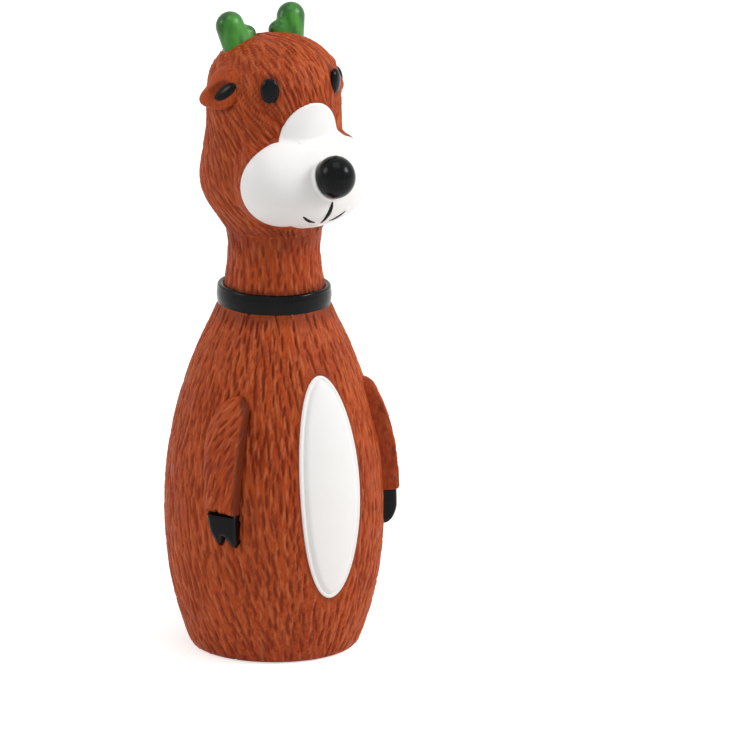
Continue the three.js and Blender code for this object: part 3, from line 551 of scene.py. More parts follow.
height = body_points[:, 2]
lean = body_lean(height)
body_lie = MM * (body_points - [[0, 1, 0]] * carried(body_lean, height)[:, None])
side_angle = np.arctan2(np.abs(body_points[:, 0]), -body_points[:, 1])
behind_arm_line = (side_angle - ARM_ANGLE) * body_radius(height)
from_arm = -outline_distance(behind_arm_line, height, arm_outline)
# Painted shade: darker in the crease beside each arm's front edge, under the collar and round the belly's
# edge.
beside_arm = 0.25 + 0.45 * fading(-2, 3, behind_arm_line)
beside_arm = beside_arm * fading(-0.2, 0.75, from_arm)
under_collar = smooth_step(74.5, 78, height) * 0.5
round_belly = 0.4 * fading(1.0, 1.09, belly_edge)
body_skin = make_object(
    "latex_body_skin",
    body_points,
    body_faces,
    flow=np.stack([0 * lean, -lean, -np.ones_like(lean)], axis=1),
    lie=body_lie,
    furry=is_outside * smooth_step(1.05, 1.1, belly_edge) * (height < BODY_FUR_TOP),
    wash=is_outside * np.maximum.reduce([under_collar, round_belly, beside_arm]),
)
carve(body_skin, seed=11, stroke_length=0.0034, stroke_spacing=0.00156)

# %% [markdown]
# The belly
#
# The white oval stands a little proud of the fur. In the photo a thin shaded line runs just inside its
# left edge: a low rim, and then a small step up to the smooth dome. The oval is built from rows that
# follow its outline inwards, so the rim and the step keep their width all the way round.

# %% The belly patch
EDGE_WIDTH = 1.9


def belly_rings(insets, heights, columns=256):
    angle = full_turn(columns, start=0)
    half_x, half_z = BELLY_WIDTH / 2, BELLY_LENGTH / 2
    x, z = half_x * np.cos(angle), half_z * np.sin(angle)
    normal = np.stack([np.cos(angle) / half_x, np.sin(angle) / half_z])
    normal /= np.linalg.norm(normal, axis=0)
    rings = []
    for inset, height in zip(insets, heights):
        edge_inset = min(inset, EDGE_WIDTH)
        share = 1 - (inset - edge_inset) / (half_x - EDGE_WIDTH)
        ring_x = (x - normal[0] * edge_inset) * share
        ring_z = (z - normal[1] * edge_inset) * share + BELLY_MIDDLE
        radius = body_radius(ring_z) + height
        rings.append(np.stack([ring_x, -np.sqrt(radius**2 - ring_x**2), ring_z], axis=-1))
    return np.array(rings)


rim = [
    (0, -0.35), (0.04, -0.08), (0.12, 0.08), (0.25, 0.18), (0.45, 0.22), (0.65, 0.2), (0.82, 0.08),
    (0.95, 0), (1.08, 0.02), (1.22, 0.16), (1.38, 0.34), (1.55, 0.47), (1.75, 0.55), (2.0, 0.6),
]
dome = [(inset, 0.6 + 0.05 * (inset - 2) / 6) for inset in np.linspace(2.3, 7.75, 20)]
front_rings = belly_rings(*zip(*rim, *dome))
back_rings = belly_rings([7.5, 5, 2.5, 0.6, 0.05], [-0.75, -0.75, -0.75, -0.7, -0.55])
middle_radius = body_radius(BELLY_MIDDLE)
all_rings = np.concatenate([back_rings, front_rings])
ends = [[0, depth - middle_radius, BELLY_MIDDLE] for depth in (0.75, -0.65)]
belly = make_object("white_belly_oval", *ring_skin(all_rings, *ends), WHITE)

# %% [markdown]
# The collar
#
# A moulded band with rounded edges. Its paint was brushed by hand, so its edges waver a little. It is a
# turned ring whose rings of points are then moved up and down round the neck.

# %% The collar ring
COLLAR_RADIUS, COLLAR_HALF_WIDTH, CORNER = 12.6, 2.35, 0.6
upper = [
    (COLLAR_RADIUS - CORNER + CORNER * np.cos(a), COLLAR_HALF_WIDTH - CORNER + CORNER * np.sin(a))
    for a in np.linspace(0, np.pi / 2, 7)
]
face_rows = [(COLLAR_RADIUS + 0.16 * (1 - (t / 1.6) ** 2), t) for t in np.linspace(-1.6, 1.6, 11)]
lower = [(r, -z) for r, z in upper[::-1]]
collar_rings = turned(np.array([(10.9, -2.1), *lower, *face_rows, *upper, (10.9, 2.1)]), 200)
angle = full_turn(200)
waver = 0.06 * np.sin(3 * angle + 0.6) + 0.04 * np.sin(7 * angle) - 0.25 * np.sin(angle)
collar_rings[:, :, 2] += waver + BODY_HEIGHT
collar = make_object("black_collar_band", *ring_skin(collar_rings), BLACK)

# %% [markdown]
# The neck
#
# The neck is the part that bends when the head nods. It is a turned tube whose lower end lies under the
# collar and whose upper end lies inside the head's skin, so that no gap opens when it bends.

# %% The neck skin, carved
NECK_HEIGHT, NECK_RADIUS, HEAD_HEIGHT, HEAD_RADIUS = 15.2, 10.2, 43.7, 16.4
HEAD_BOTTOM = BODY_HEIGHT + NECK_HEIGHT
CROWN = HEAD_BOTTOM + HEAD_HEIGHT
body_top, head_start = 0.481 * BODY_RADIUS, 0.655 * HEAD_RADIUS
neck_table = [
    (body_top, BODY_HEIGHT),
    (NECK_RADIUS + 0.35 * (body_top - NECK_RADIUS), BODY_HEIGHT + 0.3 * NECK_HEIGHT),
    (NECK_RADIUS, BODY_HEIGHT + 0.7 * NECK_HEIGHT),
    (head_start, HEAD_BOTTOM),
]
neck_outside = smooth_curve(neck_table, 46)
under_collar_row = [(body_top - 0.5, BODY_HEIGHT - 1)]
inside_head_rows = [(head_start - 0.05, 96.3), (head_start - 0.4, 97.2)]
neck_outer = np.vstack([under_collar_row, neck_outside, inside_head_rows])
neck_inner = np.vstack([[(head_start - SKIN_WALL, 97.1)], neck_outside[::-5] - [SKIN_WALL, 0]])
neck_rings = turned(np.vstack([neck_outer, neck_inner]), 300)
neck_points, neck_faces = ring_skin(neck_rings)
is_outside = np.zeros(neck_rings.shape[:2], bool)
is_outside[2 : len(neck_outer) - 2] = True
is_outside = is_outside.ravel()
height = neck_points[:, 2]
# Painted shade under the chin and just above the collar.
under_chin = 0.3 * smooth_step(87, 96, height)
over_collar = 0.45 * fading(82.6, 84.4, height)
neck_skin = make_object(
    "latex_neck_skin",
    neck_points,
    neck_faces,
    flow=np.tile([0, -0.08, -1.0], (len(neck_points), 1)),
    lie=MM * neck_points,
    furry=is_outside * fading(*NECK_FUR_FADES, height),
    wash=is_outside * np.maximum(under_chin, over_collar),
)
carve(neck_skin, seed=23, stroke_length=0.0026, cut_depth=0.00024)

# %% [markdown]
# The head
#
# The head is not a turned form: a broad snout and two cheeks flow out of the skull. The plain way to
# let forms flow together is a distance function. Each form says how far a point is from its surface,
# and a soft minimum of the three gives one smooth surface. Rays from a place inside the head then find
# that surface, ring by ring, from the neck's opening up to the crown.

# %% The skull's profile and a table of the distances to it
HEAD_SHARES = [
    (0.655, 0), (0.75, 0.06), (0.89, 0.137), (0.975, 0.21), (1, 0.29), (0.96, 0.41), (0.915, 0.52),
    (0.909, 0.65), (0.9, 0.75), (0.84, 0.837), (0.7, 0.91), (0.5, 0.963), (0.27, 0.99), (0, 1),
]
head_table = [(r * HEAD_RADIUS, HEAD_BOTTOM + z * HEAD_HEIGHT) for r, z in HEAD_SHARES]
head_outside = smooth_curve(head_table, 120)
SNOUT_CENTRE, SNOUT_HALF = (0, -12, HEAD_BOTTOM + 12.8), (14.2, 12.2, 9.8)
CHEEK_CENTRE, CHEEK_HALF = (7.6, -10.6, HEAD_BOTTOM + 13.9), (8.3, 8.5, 9.4)

GRID = 0.25
grid_r, grid_z = np.arange(0, 45, GRID), np.arange(84, 165, GRID)
skull_line = np.vstack([[(head_start, 84)], head_outside])
start, span = skull_line[:-1], np.diff(skull_line, axis=0)
flat_points = np.stack(np.meshgrid(grid_r, grid_z, indexing="ij"), axis=-1)[:, :, None, :]
along_line = np.clip(((flat_points - start) * span).sum(-1) / (span**2).sum(-1), 0, 1)
gap = np.linalg.norm(flat_points - start - along_line[..., None] * span, axis=-1).min(axis=-1)
radius_there = np.interp(grid_z, skull_line[:, 1], skull_line[:, 0], right=-1)
skull_table = np.where(grid_r[:, None] < radius_there, -gap, gap)

# %% Forms that flow together
def head_radius(height):
    return np.interp(height, head_outside[:, 1], head_outside[:, 0])


def skull_distance(points):
    """Read from the table, straight between its four nearest places."""
    r = np.clip(np.hypot(points[..., 0], points[..., 1]) / GRID, 0, len(grid_r) - 1.001)
    z = np.clip((points[..., 2] - grid_z[0]) / GRID, 0, len(grid_z) - 1.001)
    i, k = r.astype(int), z.astype(int)
    f, g = r - i, z - k
    low = skull_table[i, k] * (1 - f) + skull_table[i + 1, k] * f
    high = skull_table[i, k + 1] * (1 - f) + skull_table[i + 1, k + 1] * f
    return low * (1 - g) + high * g


def oval_distance(points, centre, half):
    """Distance to an ellipsoid, close enough near its surface."""
    scaled = (points - np.array(centre)) / np.array(half)
    ratio = np.linalg.norm(scaled, axis=-1)
    slope = np.linalg.norm(scaled / np.array(half), axis=-1)
    return ratio * (ratio - 1) / np.maximum(slope, 1e-6)


def flow_together(first, second, width):
    """The nearer of two surfaces, with a soft hollow of this width between them."""
    overlap = np.maximum(width - np.abs(first - second), 0) / width
    return np.minimum(first, second) - overlap**2 * width / 4


def head_distance(points):
    snout = oval_distance(points, SNOUT_CENTRE, SNOUT_HALF)
    on_one_side = np.concatenate([np.abs(points[..., :1]), points[..., 1:]], axis=-1)
    cheeks = oval_distance(on_one_side, CHEEK_CENTRE, CHEEK_HALF)
    return flow_together(skull_distance(points), flow_together(snout, cheeks, 3), 1.4)

# %% Rays that find a surface
def ray_hits(distance, origin, directions, reach, value=0.0):
    """Where rays meet the place at which the distance has this value, by halving."""
    near = np.zeros(directions.shape[:-1])
    far = near + reach
    for _ in range(24):
        middle = (near + far) / 2
        outside = distance(origin + directions * middle[..., None]) > value
        near, far = np.where(outside, near, middle), np.where(outside, middle, far)
    return origin + directions * ((near + far) / 2)[..., None]


def surface_normals(distance, points):
    steps = 0.05 * np.eye(3)
    normal = np.stack([distance(points + step) - distance(points - step) for step in steps], axis=-1)
    return normal / np.linalg.norm(normal, axis=-1, keepdims=True)


def fan(rows, columns, lowest, highest):
    """Directions in rings from low to high; the poles are left out."""
    up = np.linspace(lowest, highest, rows)[:, None]
    angle = full_turn(columns)[None, :]
    return round_axis(np.cos(up), angle, np.sin(up))

# %% [markdown]
# The white zone
#
# The muzzle's white paint covers four overlapping ovals: a blaze, two cheeks and the chin. They are
# measured round the head and up from its lower seam. Under the paint the head's fur skin sinks a
# little, and no strokes are cut there; the muzzle itself is a smooth piece that lies in the hollow and
# stands slightly proud, as the thick paint does.

# %% The four ovals
WHITE_OVALS = [
    ((0.7, 22), (9.1, 9.3)), ((0, 11.6), (10, 8.7)), ((-8, 13.8), (7.8, 9.4)), ((8, 13.5), (7.8, 9.1)),
]
WHITE_MIDDLE = (0, 13.8)


def zone_place(points):
    """How far round the head and how far up a point lies."""
    angle = np.arctan2(points[..., 0], -points[..., 1])
    return angle * HEAD_RADIUS, points[..., 2] - HEAD_BOTTOM


def zone_distance(points):
    """Distance from the white zone's outline in millimetres, negative inside."""
    arc, up = zone_place(points)
    nearest = np.full(arc.shape, 99.0)
    for (x, z), (half_x, half_z) in WHITE_OVALS:
        a, b = (arc - x) / half_x, (up - z) / half_z
        ratio = np.hypot(a, b)
        slope = np.hypot(a / half_x, b / half_z)
        nearest = np.minimum(nearest, ratio * (ratio - 1) / np.maximum(slope, 1e-6))
    return nearest

# %% The head's rings
EYE_ANGLE, EYE_HEIGHT = math.radians(36.3), CROWN - 9.2
EAR_ANGLE, EAR_HEIGHT = math.radians(82), CROWN - 10.3
COLUMNS, UP = 600, np.array([0, 0, 1.0])
HEAD_MIDDLE, PAINT_HOLLOW = 110.0, 0.9
head_core = np.array([0, 0, HEAD_MIDDLE])
rim_height = HEAD_BOTTOM + 0.05
lowest_ray = math.atan2(rim_height - head_core[2], head_radius(rim_height))
outer_rings = ray_hits(head_distance, head_core, fan(134, COLUMNS, lowest_ray, math.pi / 2 - 0.006), 60)
inner_fan = fan(20, COLUMNS, lowest_ray + 0.12, math.pi / 2 - 0.02)
inner_rings = ray_hits(head_distance, head_core, inner_fan, 60, value=-SKIN_WALL)
edge = outer_rings[0] - [0, 0, 0.06]
tuck = edge * [0.93, 0.93, 1] - [0, 0, 0.4]
head_rings = np.concatenate([inner_rings[::-1], [tuck, edge], outer_rings])
crown_inside = ray_hits(head_distance, head_core, UP, 60, value=-SKIN_WALL)
crown_outside = ray_hits(head_distance, head_core, UP, 60)
head_points, head_faces = ring_skin(head_rings, first=crown_inside, last=crown_outside)
is_outside = np.zeros(len(head_points), bool)
is_outside[(len(inner_rings) + 3) * COLUMNS :] = True
zone = zone_distance(head_points)
sink_depth = is_outside * PAINT_HOLLOW * fading(-1.1, -0.35, zone)
head_points = head_points - surface_normals(head_distance, head_points) * sink_depth[:, None]

# %% How the head's fur lies
x, y, height = head_points.T
head_angle = np.arctan2(x, -y)
beside = np.abs(head_angle)
brow_lean = 0.24 * fading(0.5, 1.3, beside)
cheek_lean = -np.sign(head_angle) * smooth_step(0.3, 0.75, beside) * fading(2.1, 2.9, beside)


def cheek_share(at_height):
    return 0.75 * fading(122, 135, at_height) * (0.6 + 0.4 * smooth_step(100, 116, at_height))


swirl = brow_lean + cheek_lean * cheek_share(height)
cheek_carries = carried(cheek_share, height) - carried(cheek_share, HEAD_MIDDLE)
turned_back = brow_lean * (height - HEAD_MIDDLE) + cheek_lean * cheek_carries
head_lie = MM * round_axis(np.hypot(x, y), head_angle + turned_back / 15.5, height)
round_head = np.stack([np.cos(head_angle), np.sin(head_angle)], axis=1) * swirl[:, None]
forward = np.stack([0 * swirl, -0.8 * smooth_step(118, 136, height)], axis=1)
head_flow = np.concatenate([round_head + forward, -np.ones((len(head_points), 1))], axis=1)

# %% Where the head's fur grows, and its carving
arc = np.abs(zone_place(head_points)[0])
eye_gap = np.hypot((arc - EYE_ANGLE * HEAD_RADIUS) / 2.4, (height - EYE_HEIGHT) / 3.1)
ear_gap = np.hypot((arc - EAR_ANGLE * HEAD_RADIUS - 0.3) / 4.6, np.minimum(height - EAR_HEIGHT, 0) / 4.4)
antler_gap = np.hypot((np.abs(x) - 6.6) / 4, (y - 4.7) / 3.6)
head_furry = is_outside * smooth_step(0.15, 0.4, zone) * smooth_step(0.9, 1.15, eye_gap)
head_furry = head_furry * smooth_step(*HEAD_FUR_GROWS, height) * smooth_step(0.95, 1.3, antler_gap)
# Painted shade: round each eye, round the lower half of each ear, along the white zone's edge and in the
# crease under the chin.
eye_ring = 0.55 * fading(1.0, 1.35, eye_gap)
ear_ring = 0.4 * fading(0.95, 1.3, ear_gap) * fading(1, 4, height - EAR_HEIGHT)
zone_ring = 0.3 * fading(0.1, 0.7, zone)
chin_crease = 0.3 * fading(95.7, 98.2, height)
head_wash = is_outside * np.maximum.reduce([eye_ring, ear_ring, zone_ring, chin_crease])
head_skin = make_object(
    "latex_head_skin", head_points, head_faces, flow=head_flow, lie=head_lie, furry=head_furry, wash=head_wash
)
carve(
    head_skin, seed=37, stroke_length=0.0034, stroke_width=0.00027, cut_depth=0.0003,
    crest_height=0.00015, stroke_spacing=0.00108, strokes_per_square_metre=560000, soft_edge=0.0002,
)

# %% [markdown]
# The muzzle
#
# Rows of points run inwards from the white zone's outline, as on the belly, but this outline is the
# ovals' common edge. Each row is dropped on the head's surface along a ray from the head's axis and
# lifted by the paint's thickness, which is rounded off at the edge.

# %% Where the white zone ends
def zone_reach(direction_x, direction_z):
    """How far the ovals' common outline lies from the zone's middle in each direction."""
    reaches = []
    for (x, z), (half_x, half_z) in WHITE_OVALS:
        from_x, from_z = WHITE_MIDDLE[0] - x, WHITE_MIDDLE[1] - z
        square = (direction_x / half_x) ** 2 + (direction_z / half_z) ** 2
        cross = from_x * direction_x / half_x**2 + from_z * direction_z / half_z**2
        inside_part = cross**2 - square * ((from_x / half_x) ** 2 + (from_z / half_z) ** 2 - 1)
        reaches.append(np.where(inside_part > 0, (np.sqrt(np.maximum(inside_part, 0)) - cross) / square, 0))
    return np.max(reaches, axis=0)


def snout_point(x, height):
    """The head's surface straight in front of a place."""
    x, height = np.broadcast_arrays(np.asarray(x, float), np.asarray(height, float))
    origin = np.stack([x, np.full(x.shape, SNOUT_CENTRE[1]), height], axis=-1)
    return ray_hits(head_distance, origin, 0 * origin + [0, -1, 0], 40)

# %% The nose's place and the muzzle
NOSE_HALF, NOSE_HEIGHT, PROUD = (4.37, 4.62, 4.78), 16.7, 1.9
nose_centre = snout_point(0, HEAD_BOTTOM + NOSE_HEIGHT) - [0, PROUD, 0]


def nose_distance(points):
    return oval_distance(points, nose_centre, NOSE_HALF)


def muzzle_rings(shares, lifts, columns=300):
    angle = full_turn(columns, start=0)
    reach = zone_reach(np.cos(angle), np.sin(angle))
    rings = []
    for share, lift in zip(shares, lifts):
        round_head = share * reach * np.cos(angle) / HEAD_RADIUS
        height = HEAD_BOTTOM + WHITE_MIDDLE[1] + share * reach * np.sin(angle)
        origin = round_axis(0, round_head, height)
        hit = ray_hits(head_distance, origin, round_axis(1, round_head, 0), 60)
        lip = 0.5 * np.exp(-(((nose_distance(hit) - 0.35) / 0.33) ** 2)) * (lift > 0)
        rings.append(hit + surface_normals(head_distance, hit) * (lift + lip)[:, None])
    return np.array(rings)


edge_shares = 1 - np.array([0, 0.003, 0.008, 0.015, 0.025, 0.04, 0.06])
inner_shares = np.linspace(0.92, 0.012, 84)
PAINT_THICKNESS = 0.3
edge_lifts = PAINT_THICKNESS * np.array([-1.6, -0.2, 0.35, 0.7, 0.9, 0.98, 1])
front_shares = np.concatenate([edge_shares, inner_shares])
front_lifts = np.concatenate([edge_lifts, np.full(len(inner_shares), PAINT_THICKNESS)])
muzzle_front = muzzle_rings(front_shares, front_lifts)
muzzle_back = muzzle_rings([0.02, 0.25, 0.5, 0.75, 0.9, 0.985], [-0.8] * 5 + [-0.7])
all_rings = np.concatenate([muzzle_back, muzzle_front])
ends = all_rings[[0, -1]].mean(axis=1)
muzzle = make_object("white_muzzle", *ring_skin(all_rings, *ends), WHITE)

# %% [markdown]
# The nose, the eyes and the mouth
#
# The nose is a fat ball in a raised lip of the muzzle's white paint. The eyes are low domes, taller
# than wide. These, and the ears and antlers after them, are found by rays from their own middles, so
# one function serves. The mouth is three brush strokes, thick in the middle and tapered at the ends,
# drawn as thin rods half sunk in the muzzle.

# %% Forms found from their own middle
def oval_about(seat, axes, half, centre=(0, 0, 0)):
    """The distance function of an oval in axes of its own."""
    return lambda points: oval_distance((points - seat) @ axes.T, centre, half)


def ray_form(name, distance, core, material, columns=96, rows=64, reach=30, shade=None):
    core = np.asarray(core, float)
    rings = ray_hits(distance, core, fan(rows, columns, 0.03 - math.pi / 2, math.pi / 2 - 0.03), reach)
    low, high = ray_hits(distance, core, np.array([-UP, UP]), reach)
    points, faces = ring_skin(rings, first=low, last=high)
    attributes = {} if shade is None else {"wash": shade(points), "lie": MM * points}
    return make_object(name, points, faces, material, **attributes)

# %% The nose and the eyes
nose = ray_form("black_nose", nose_distance, nose_centre + [0, 0.8, 0], BLACK)

for side, word in SIDES:
    facing = np.array([side * math.sin(EYE_ANGLE), -math.cos(EYE_ANGLE), 0])
    across = np.array([math.cos(EYE_ANGLE), side * math.sin(EYE_ANGLE), 0])
    seat = facing * head_radius(EYE_HEIGHT) + [0, 0, EYE_HEIGHT]
    eye_distance = oval_about(seat, np.stack([across, facing, UP]), (2.06, 1.05, 2.9))
    pieces[f"eye_{word}"] = ray_form(f"black_eye_{word}", eye_distance, seat, BLACK, 64, 48, 12)

# %% The mouth
def brush_stroke(name, places, width, sides=12, steps=40):
    """A rod along places on the snout, tapered at both ends; the places are above the head's bottom."""
    path = smooth_curve(np.array(places) + [0, HEAD_BOTTOM], steps)
    middle = snout_point(path[:, 0], path[:, 1])
    outward = surface_normals(head_distance, middle)
    along = np.gradient(middle, axis=0)
    along /= np.linalg.norm(along, axis=1)[:, None]
    aside = np.cross(along, outward)
    t = np.linspace(0, 1, steps)
    half = width / 2 * np.clip(np.sin(np.pi * (0.04 + 0.92 * t)), 0, 1) ** 0.55
    turn = full_turn(sides, start=0)[None, :, None]
    ring = aside[:, None] * np.cos(turn) + 0.6 * outward[:, None] * np.sin(turn)
    rings = middle[:, None] + outward[:, None] * 0.26 + ring * half[:, None, None]
    first, last = middle[[0, -1]] + outward[[0, -1]] * 0.2
    return make_object(name, *ring_skin(rings, first=first, last=last), BLACK)


upright = [(-0.3, 11), (-0.4, 8.3), (-0.85, 5.5)]
pieces["philtrum_line"] = brush_stroke("black_philtrum", upright, 1.1)
for side, word in SIDES:
    smile = [
        (side * (1.7 + 3.6 * t) - 0.75, 5.9 - 0.3 * math.sin(math.pi * t) + 2 * t)
        for t in (0, 1 / 3, 2 / 3, 1)
    ]
    pieces[f"smile_{word}"] = brush_stroke(f"black_smile_{word}", smile, 0.85)

# %% [markdown]
# The ears
#
# Each ear is a small leaf that lies against the head with its tip pointing back and down. Its outside is
# scooped out, and a black oval sits in the scoop. The leaf is an oval that flows into a smaller one at
# the tip, and the scoop is a soft difference. The ear also flows into a copy of the head's form just
# under the head's skin, so its upper edge melts into the head as a moulded one does.

# %% The ears
def ear_axes(side, tilt, upturn):
    """Rows: along the ear towards its back tip, out from the head, and across it."""
    facing = side * (EAR_ANGLE - math.radians(9))
    level = np.array([math.sin(facing), -math.cos(facing), 0])
    back = side * np.cross(UP, level)
    outward = level * math.cos(upturn) + UP * math.sin(upturn)
    upward = UP * math.cos(upturn) - level * math.sin(upturn)
    along = back * math.cos(tilt) - upward * math.sin(tilt)
    return np.stack([along, outward, back * math.sin(tilt) + upward * math.cos(tilt)])


for side, word in SIDES:
    seat = round_axis(head_radius(EAR_HEIGHT), side * EAR_ANGLE, EAR_HEIGHT)
    leaf_axes = ear_axes(side, math.radians(24), math.radians(24))
    scoop_distance = oval_about(seat, leaf_axes, (3.6, 1.95, 2.6), centre=(-0.3, 2.2, -0.45))

    def leaf_distance(points, seat=seat, axes=leaf_axes, scoop_distance=scoop_distance):
        local = (points - seat) @ axes.T
        leaf = oval_distance(local, (0.5, -0.35, 0.1), (4.5, 1.8, 4.2))
        tip = oval_distance(local, (4.3, 0.15, -0.7), (1.9, 1.15, 1.35))
        whole = flow_together(leaf, tip, 2.6)
        scooped = -flow_together(-whole, scoop_distance(points), 0.5)
        under_skin = np.maximum(head_distance(points) + 0.5, oval_distance(local, (0, 0, 0), (7.6, 5, 6.6)))
        melt = 0.4 + 3.2 * smooth_step(0.8, 3.4, local[..., 2] - 0.3 * local[..., 0])
        return flow_together(scooped, under_skin, melt)

    def scoop_shade(points, scoop_distance=scoop_distance):
        return 0.55 * fading(0, 0.35, scoop_distance(points))

    core = seat - leaf_axes[1]
    leaf = ray_form(f"latex_ear_{word}", leaf_distance, core, BROWN, 180, 130, 14, scoop_shade)
    pieces[f"ear_{word}"] = leaf
    oval_axes = ear_axes(side, math.radians(44), math.radians(20))
    middle = seat + leaf_axes[1] * 0.6 - leaf_axes[0] * 0.8 - leaf_axes[2] * 0.8
    inner = oval_about(middle, oval_axes, (3.2, 0.8, 1.55))
    pieces[f"ear_inner_{word}"] = ray_form(f"black_ear_oval_{word}", inner, middle, BLACK, 64, 48, 8)

# %% [markdown]
# The antlers
#
# Each antler is a small mitten: a fat lobe that leans back and a short prong beside it, nearer the
# middle of the head. Two rods with round ends flow together at the root.

# %% The antlers
def rod_distance(points, low, high, radius_low, radius_high):
    low, span = np.array(low), np.array(high) - low
    share = np.clip(((points - low) @ span) / (span @ span), 0, 1)
    radius = radius_low + (radius_high - radius_low) * share
    return np.linalg.norm(points - low - share[..., None] * span, axis=-1) - radius


for side, word in SIDES:

    def antler_distance(points, side=side):
        local = points * [side, 1 / 0.88, 1]
        lobe = rod_distance(local, (7, 4.7, 136), (8, 6.3, 141.2), 3.05, 3.25)
        prong = rod_distance(local, (5.2, 4.6, 135.6), (3.9, 5.4, 138.9), 2.75, 2)
        return flow_together(lobe, prong, 1.6)

    root = (side * 6.4, 4.4, 136.4)
    pieces[f"antler_{word}"] = ray_form(f"green_antler_{word}", antler_distance, root, GREEN, 110, 90, 16)

# %% [markdown]
# The arms and the hooves
#
# The arms are relief: the rear edge fades softly into the body and the front edge ends in a crisp
# crease. That is easiest as a height over the body, worked out from the distance to an outline drawn
# flat. Where the height is below nothing the patch dives into the body, so its edge is the clean line
# where it comes out. The hooves are made the same way, from an outline with two toes.

# %% Relief on the body
PATCH_DEPTH = 1.3


def relief(name, side, x_range, z_range, height, step, material=None, **attributes):
    """A patch on the body round an arm's line; x runs back along the body, z up."""
    x_count = int((x_range[1] - x_range[0]) / step) + 1
    z_count = int((z_range[1] - z_range[0]) / step) + 1
    z, x = np.meshgrid(np.linspace(*z_range, z_count), np.linspace(*x_range, x_count), indexing="ij")
    base = body_radius(z)
    angle = side * (ARM_ANGLE + x / base)
    front = round_axis(base + height(x, z), angle, z)
    points, faces = pillow(front, round_axis(base - PATCH_DEPTH, angle, z))
    both_grids = {}
    for key, values in attributes.items():
        here = values(x, z, angle).reshape(x.size, -1).squeeze()
        both_grids[key] = np.concatenate([here, here])
    return make_object(name, points, faces, material, **both_grids)


def rounded(share):
    """A quarter circle's rise from 0 to 1."""
    return np.sqrt(np.clip(1 - (1 - np.clip(share, 0, 1)) ** 2, 0, 1))

# %% The heights of the arms and the hooves
hoof_outline = [
    (-3.7, 36.5), (-3.8, 31.5), (-3.7, 29), (-3.1, 27.9), (-2.1, 28.3), (-0.7, 30.4), (-0.1, 28.9), (0.6, 28),
    (1.4, 29), (2.5, 31.6), (3.6, 36.5),
]


def arm_height(x, z):
    """Low and soft at the rear, high and crisp in front, rounded at the shoulder."""
    inside_by = outline_distance(x, z, arm_outline)
    rise = 3.2 - 1.2 * smooth_step(50, 61, z) + 0.5 * fading(-4, 0, x)
    dome = rise * rounded(inside_by / (0.85 + 3.5 * smooth_step(-3.5, 3.2, x)))
    cut_end = smooth_step(35.35, 35.75, z)
    return np.where(inside_by > 0, dome, np.maximum(inside_by * 2.5, -1.0)) * cut_end - 0.9 * (1 - cut_end)


def hoof_height(x, z):
    """Thick at the arm, thin at the toes; its top end stays low inside the arm."""
    inside_by = outline_distance(x, z, hoof_outline)
    dome = (1.6 + 1.25 * smooth_step(27, 32, z)) * rounded(inside_by / 1.4) ** 0.8
    dome = dome * (1 - 0.3 * smooth_step(35.45, 35.8, z))
    return np.where(inside_by > 0, dome, np.maximum(inside_by * 3, -1.0))

# %% The arms' fur and paint
def arm_fur(x, z, angle):
    return smooth_step(0.15, 0.6, outline_distance(x, z, arm_outline))


def arm_wash(x, z, angle):
    """Painted shade on the front edge's flank, deeper on the right arm than on the left."""
    inside_by = outline_distance(x, z, arm_outline)
    strength = 0.6 - 0.3 * np.sign(angle)
    return strength * fading(0.45, 1.0, inside_by) * fading(-2.6, -1.2, x)


def arm_flow(x, z, angle):
    lean = (0.22 + 0.38 * smooth_step(40, 55, z)) * (1 - 0.7 * smooth_step(0, 5, x)) * np.sign(angle)
    return np.stack([lean * np.cos(angle), lean * np.sin(angle), -1 + 0 * x], axis=-1)


def arm_lie(x, z, angle):
    leant_back = angle + np.sign(angle) * 0.35 * (z - 48) / body_radius(z)
    return MM * round_axis(body_radius(z) + arm_height(x, z), leant_back, z)

# %% The arms, carved, and the hooves
arm_place = {"x_range": (-5.4, 6.2), "z_range": (35.1, 63), "height": arm_height, "step": 0.16}
hoof_place = {"x_range": (-4.2, 4.2), "z_range": (26.8, 36.9), "height": hoof_height, "step": 0.11}
arm_shade = {"flow": arm_flow, "lie": arm_lie, "furry": arm_fur, "wash": arm_wash}
for side, word in SIDES:
    arm = relief(f"latex_arm_{word}", side, **arm_place, **arm_shade)
    pieces[f"arm_{word}"] = carve(arm, seed=51 + side, cut_depth=0.00024, stroke_spacing=0.0017)
    pieces[f"hoof_{word}"] = relief(f"black_hoof_{word}", side, **hoof_place, material=BLACK)

# %% [markdown]
# The squeaker
#
# The cup and its pierced cap are moulded of natural polyethylene, milky and satin to the eye. The reed
# is a strip of rolled polyester film, smoother, with fine lines along it. The model already has their
# right shapes, but the cup and the cap can be seen from below, so these two are made again with finer
# steps. The reed, its seat and its clamp keep the model's own meshes.

# %% The plastic and the film
PLASTIC = mottled(
    "Moulded natural polyethylene", "#d9dcde", 0.42, ("#d3d6d9", "#e3e5e6"), patch=4, grain=0.3,
    strength=0.15, distance=0.00004, IOR=1.51,
)
REED, tree, shader, where = new_material("Thin polyester reed film", "#e2e2d8", 0.18, IOR=1.58)
rolled = add(tree, "ShaderNodeMapping", {"Vector": where, "Scale": (1, 1, 0.1)})
lines = add(tree, NOISE, {"Vector": rolled, "Scale": blotches(0.5), "Detail": 2})
feed(shader, {"Roughness": add(tree, RANGE, {0: lines, 3: 0.14, 4: 0.26})})

# %% The cup
cup_profile = [
    (6.7, 0.9), (6.8, 0.8), (8.95, 0.8), (9.25, 0.95), (9.3, 1.1), (9.3, 1.45),
    (9.15, 1.6), (7.7, 1.6), (7.7, 4.2), (9.15, 4.2), (9.3, 4.35), (7.7, 5.8),
    (7.7, 13.5), (7.4, 13.8), (2.6, 13.8), (2.6, 12.8), (6.4, 12.8), (6.7, 12.5),
]
housing = make_object("squeaker_cup", *ring_skin(turned(np.array(cup_profile), 96)), PLASTIC)

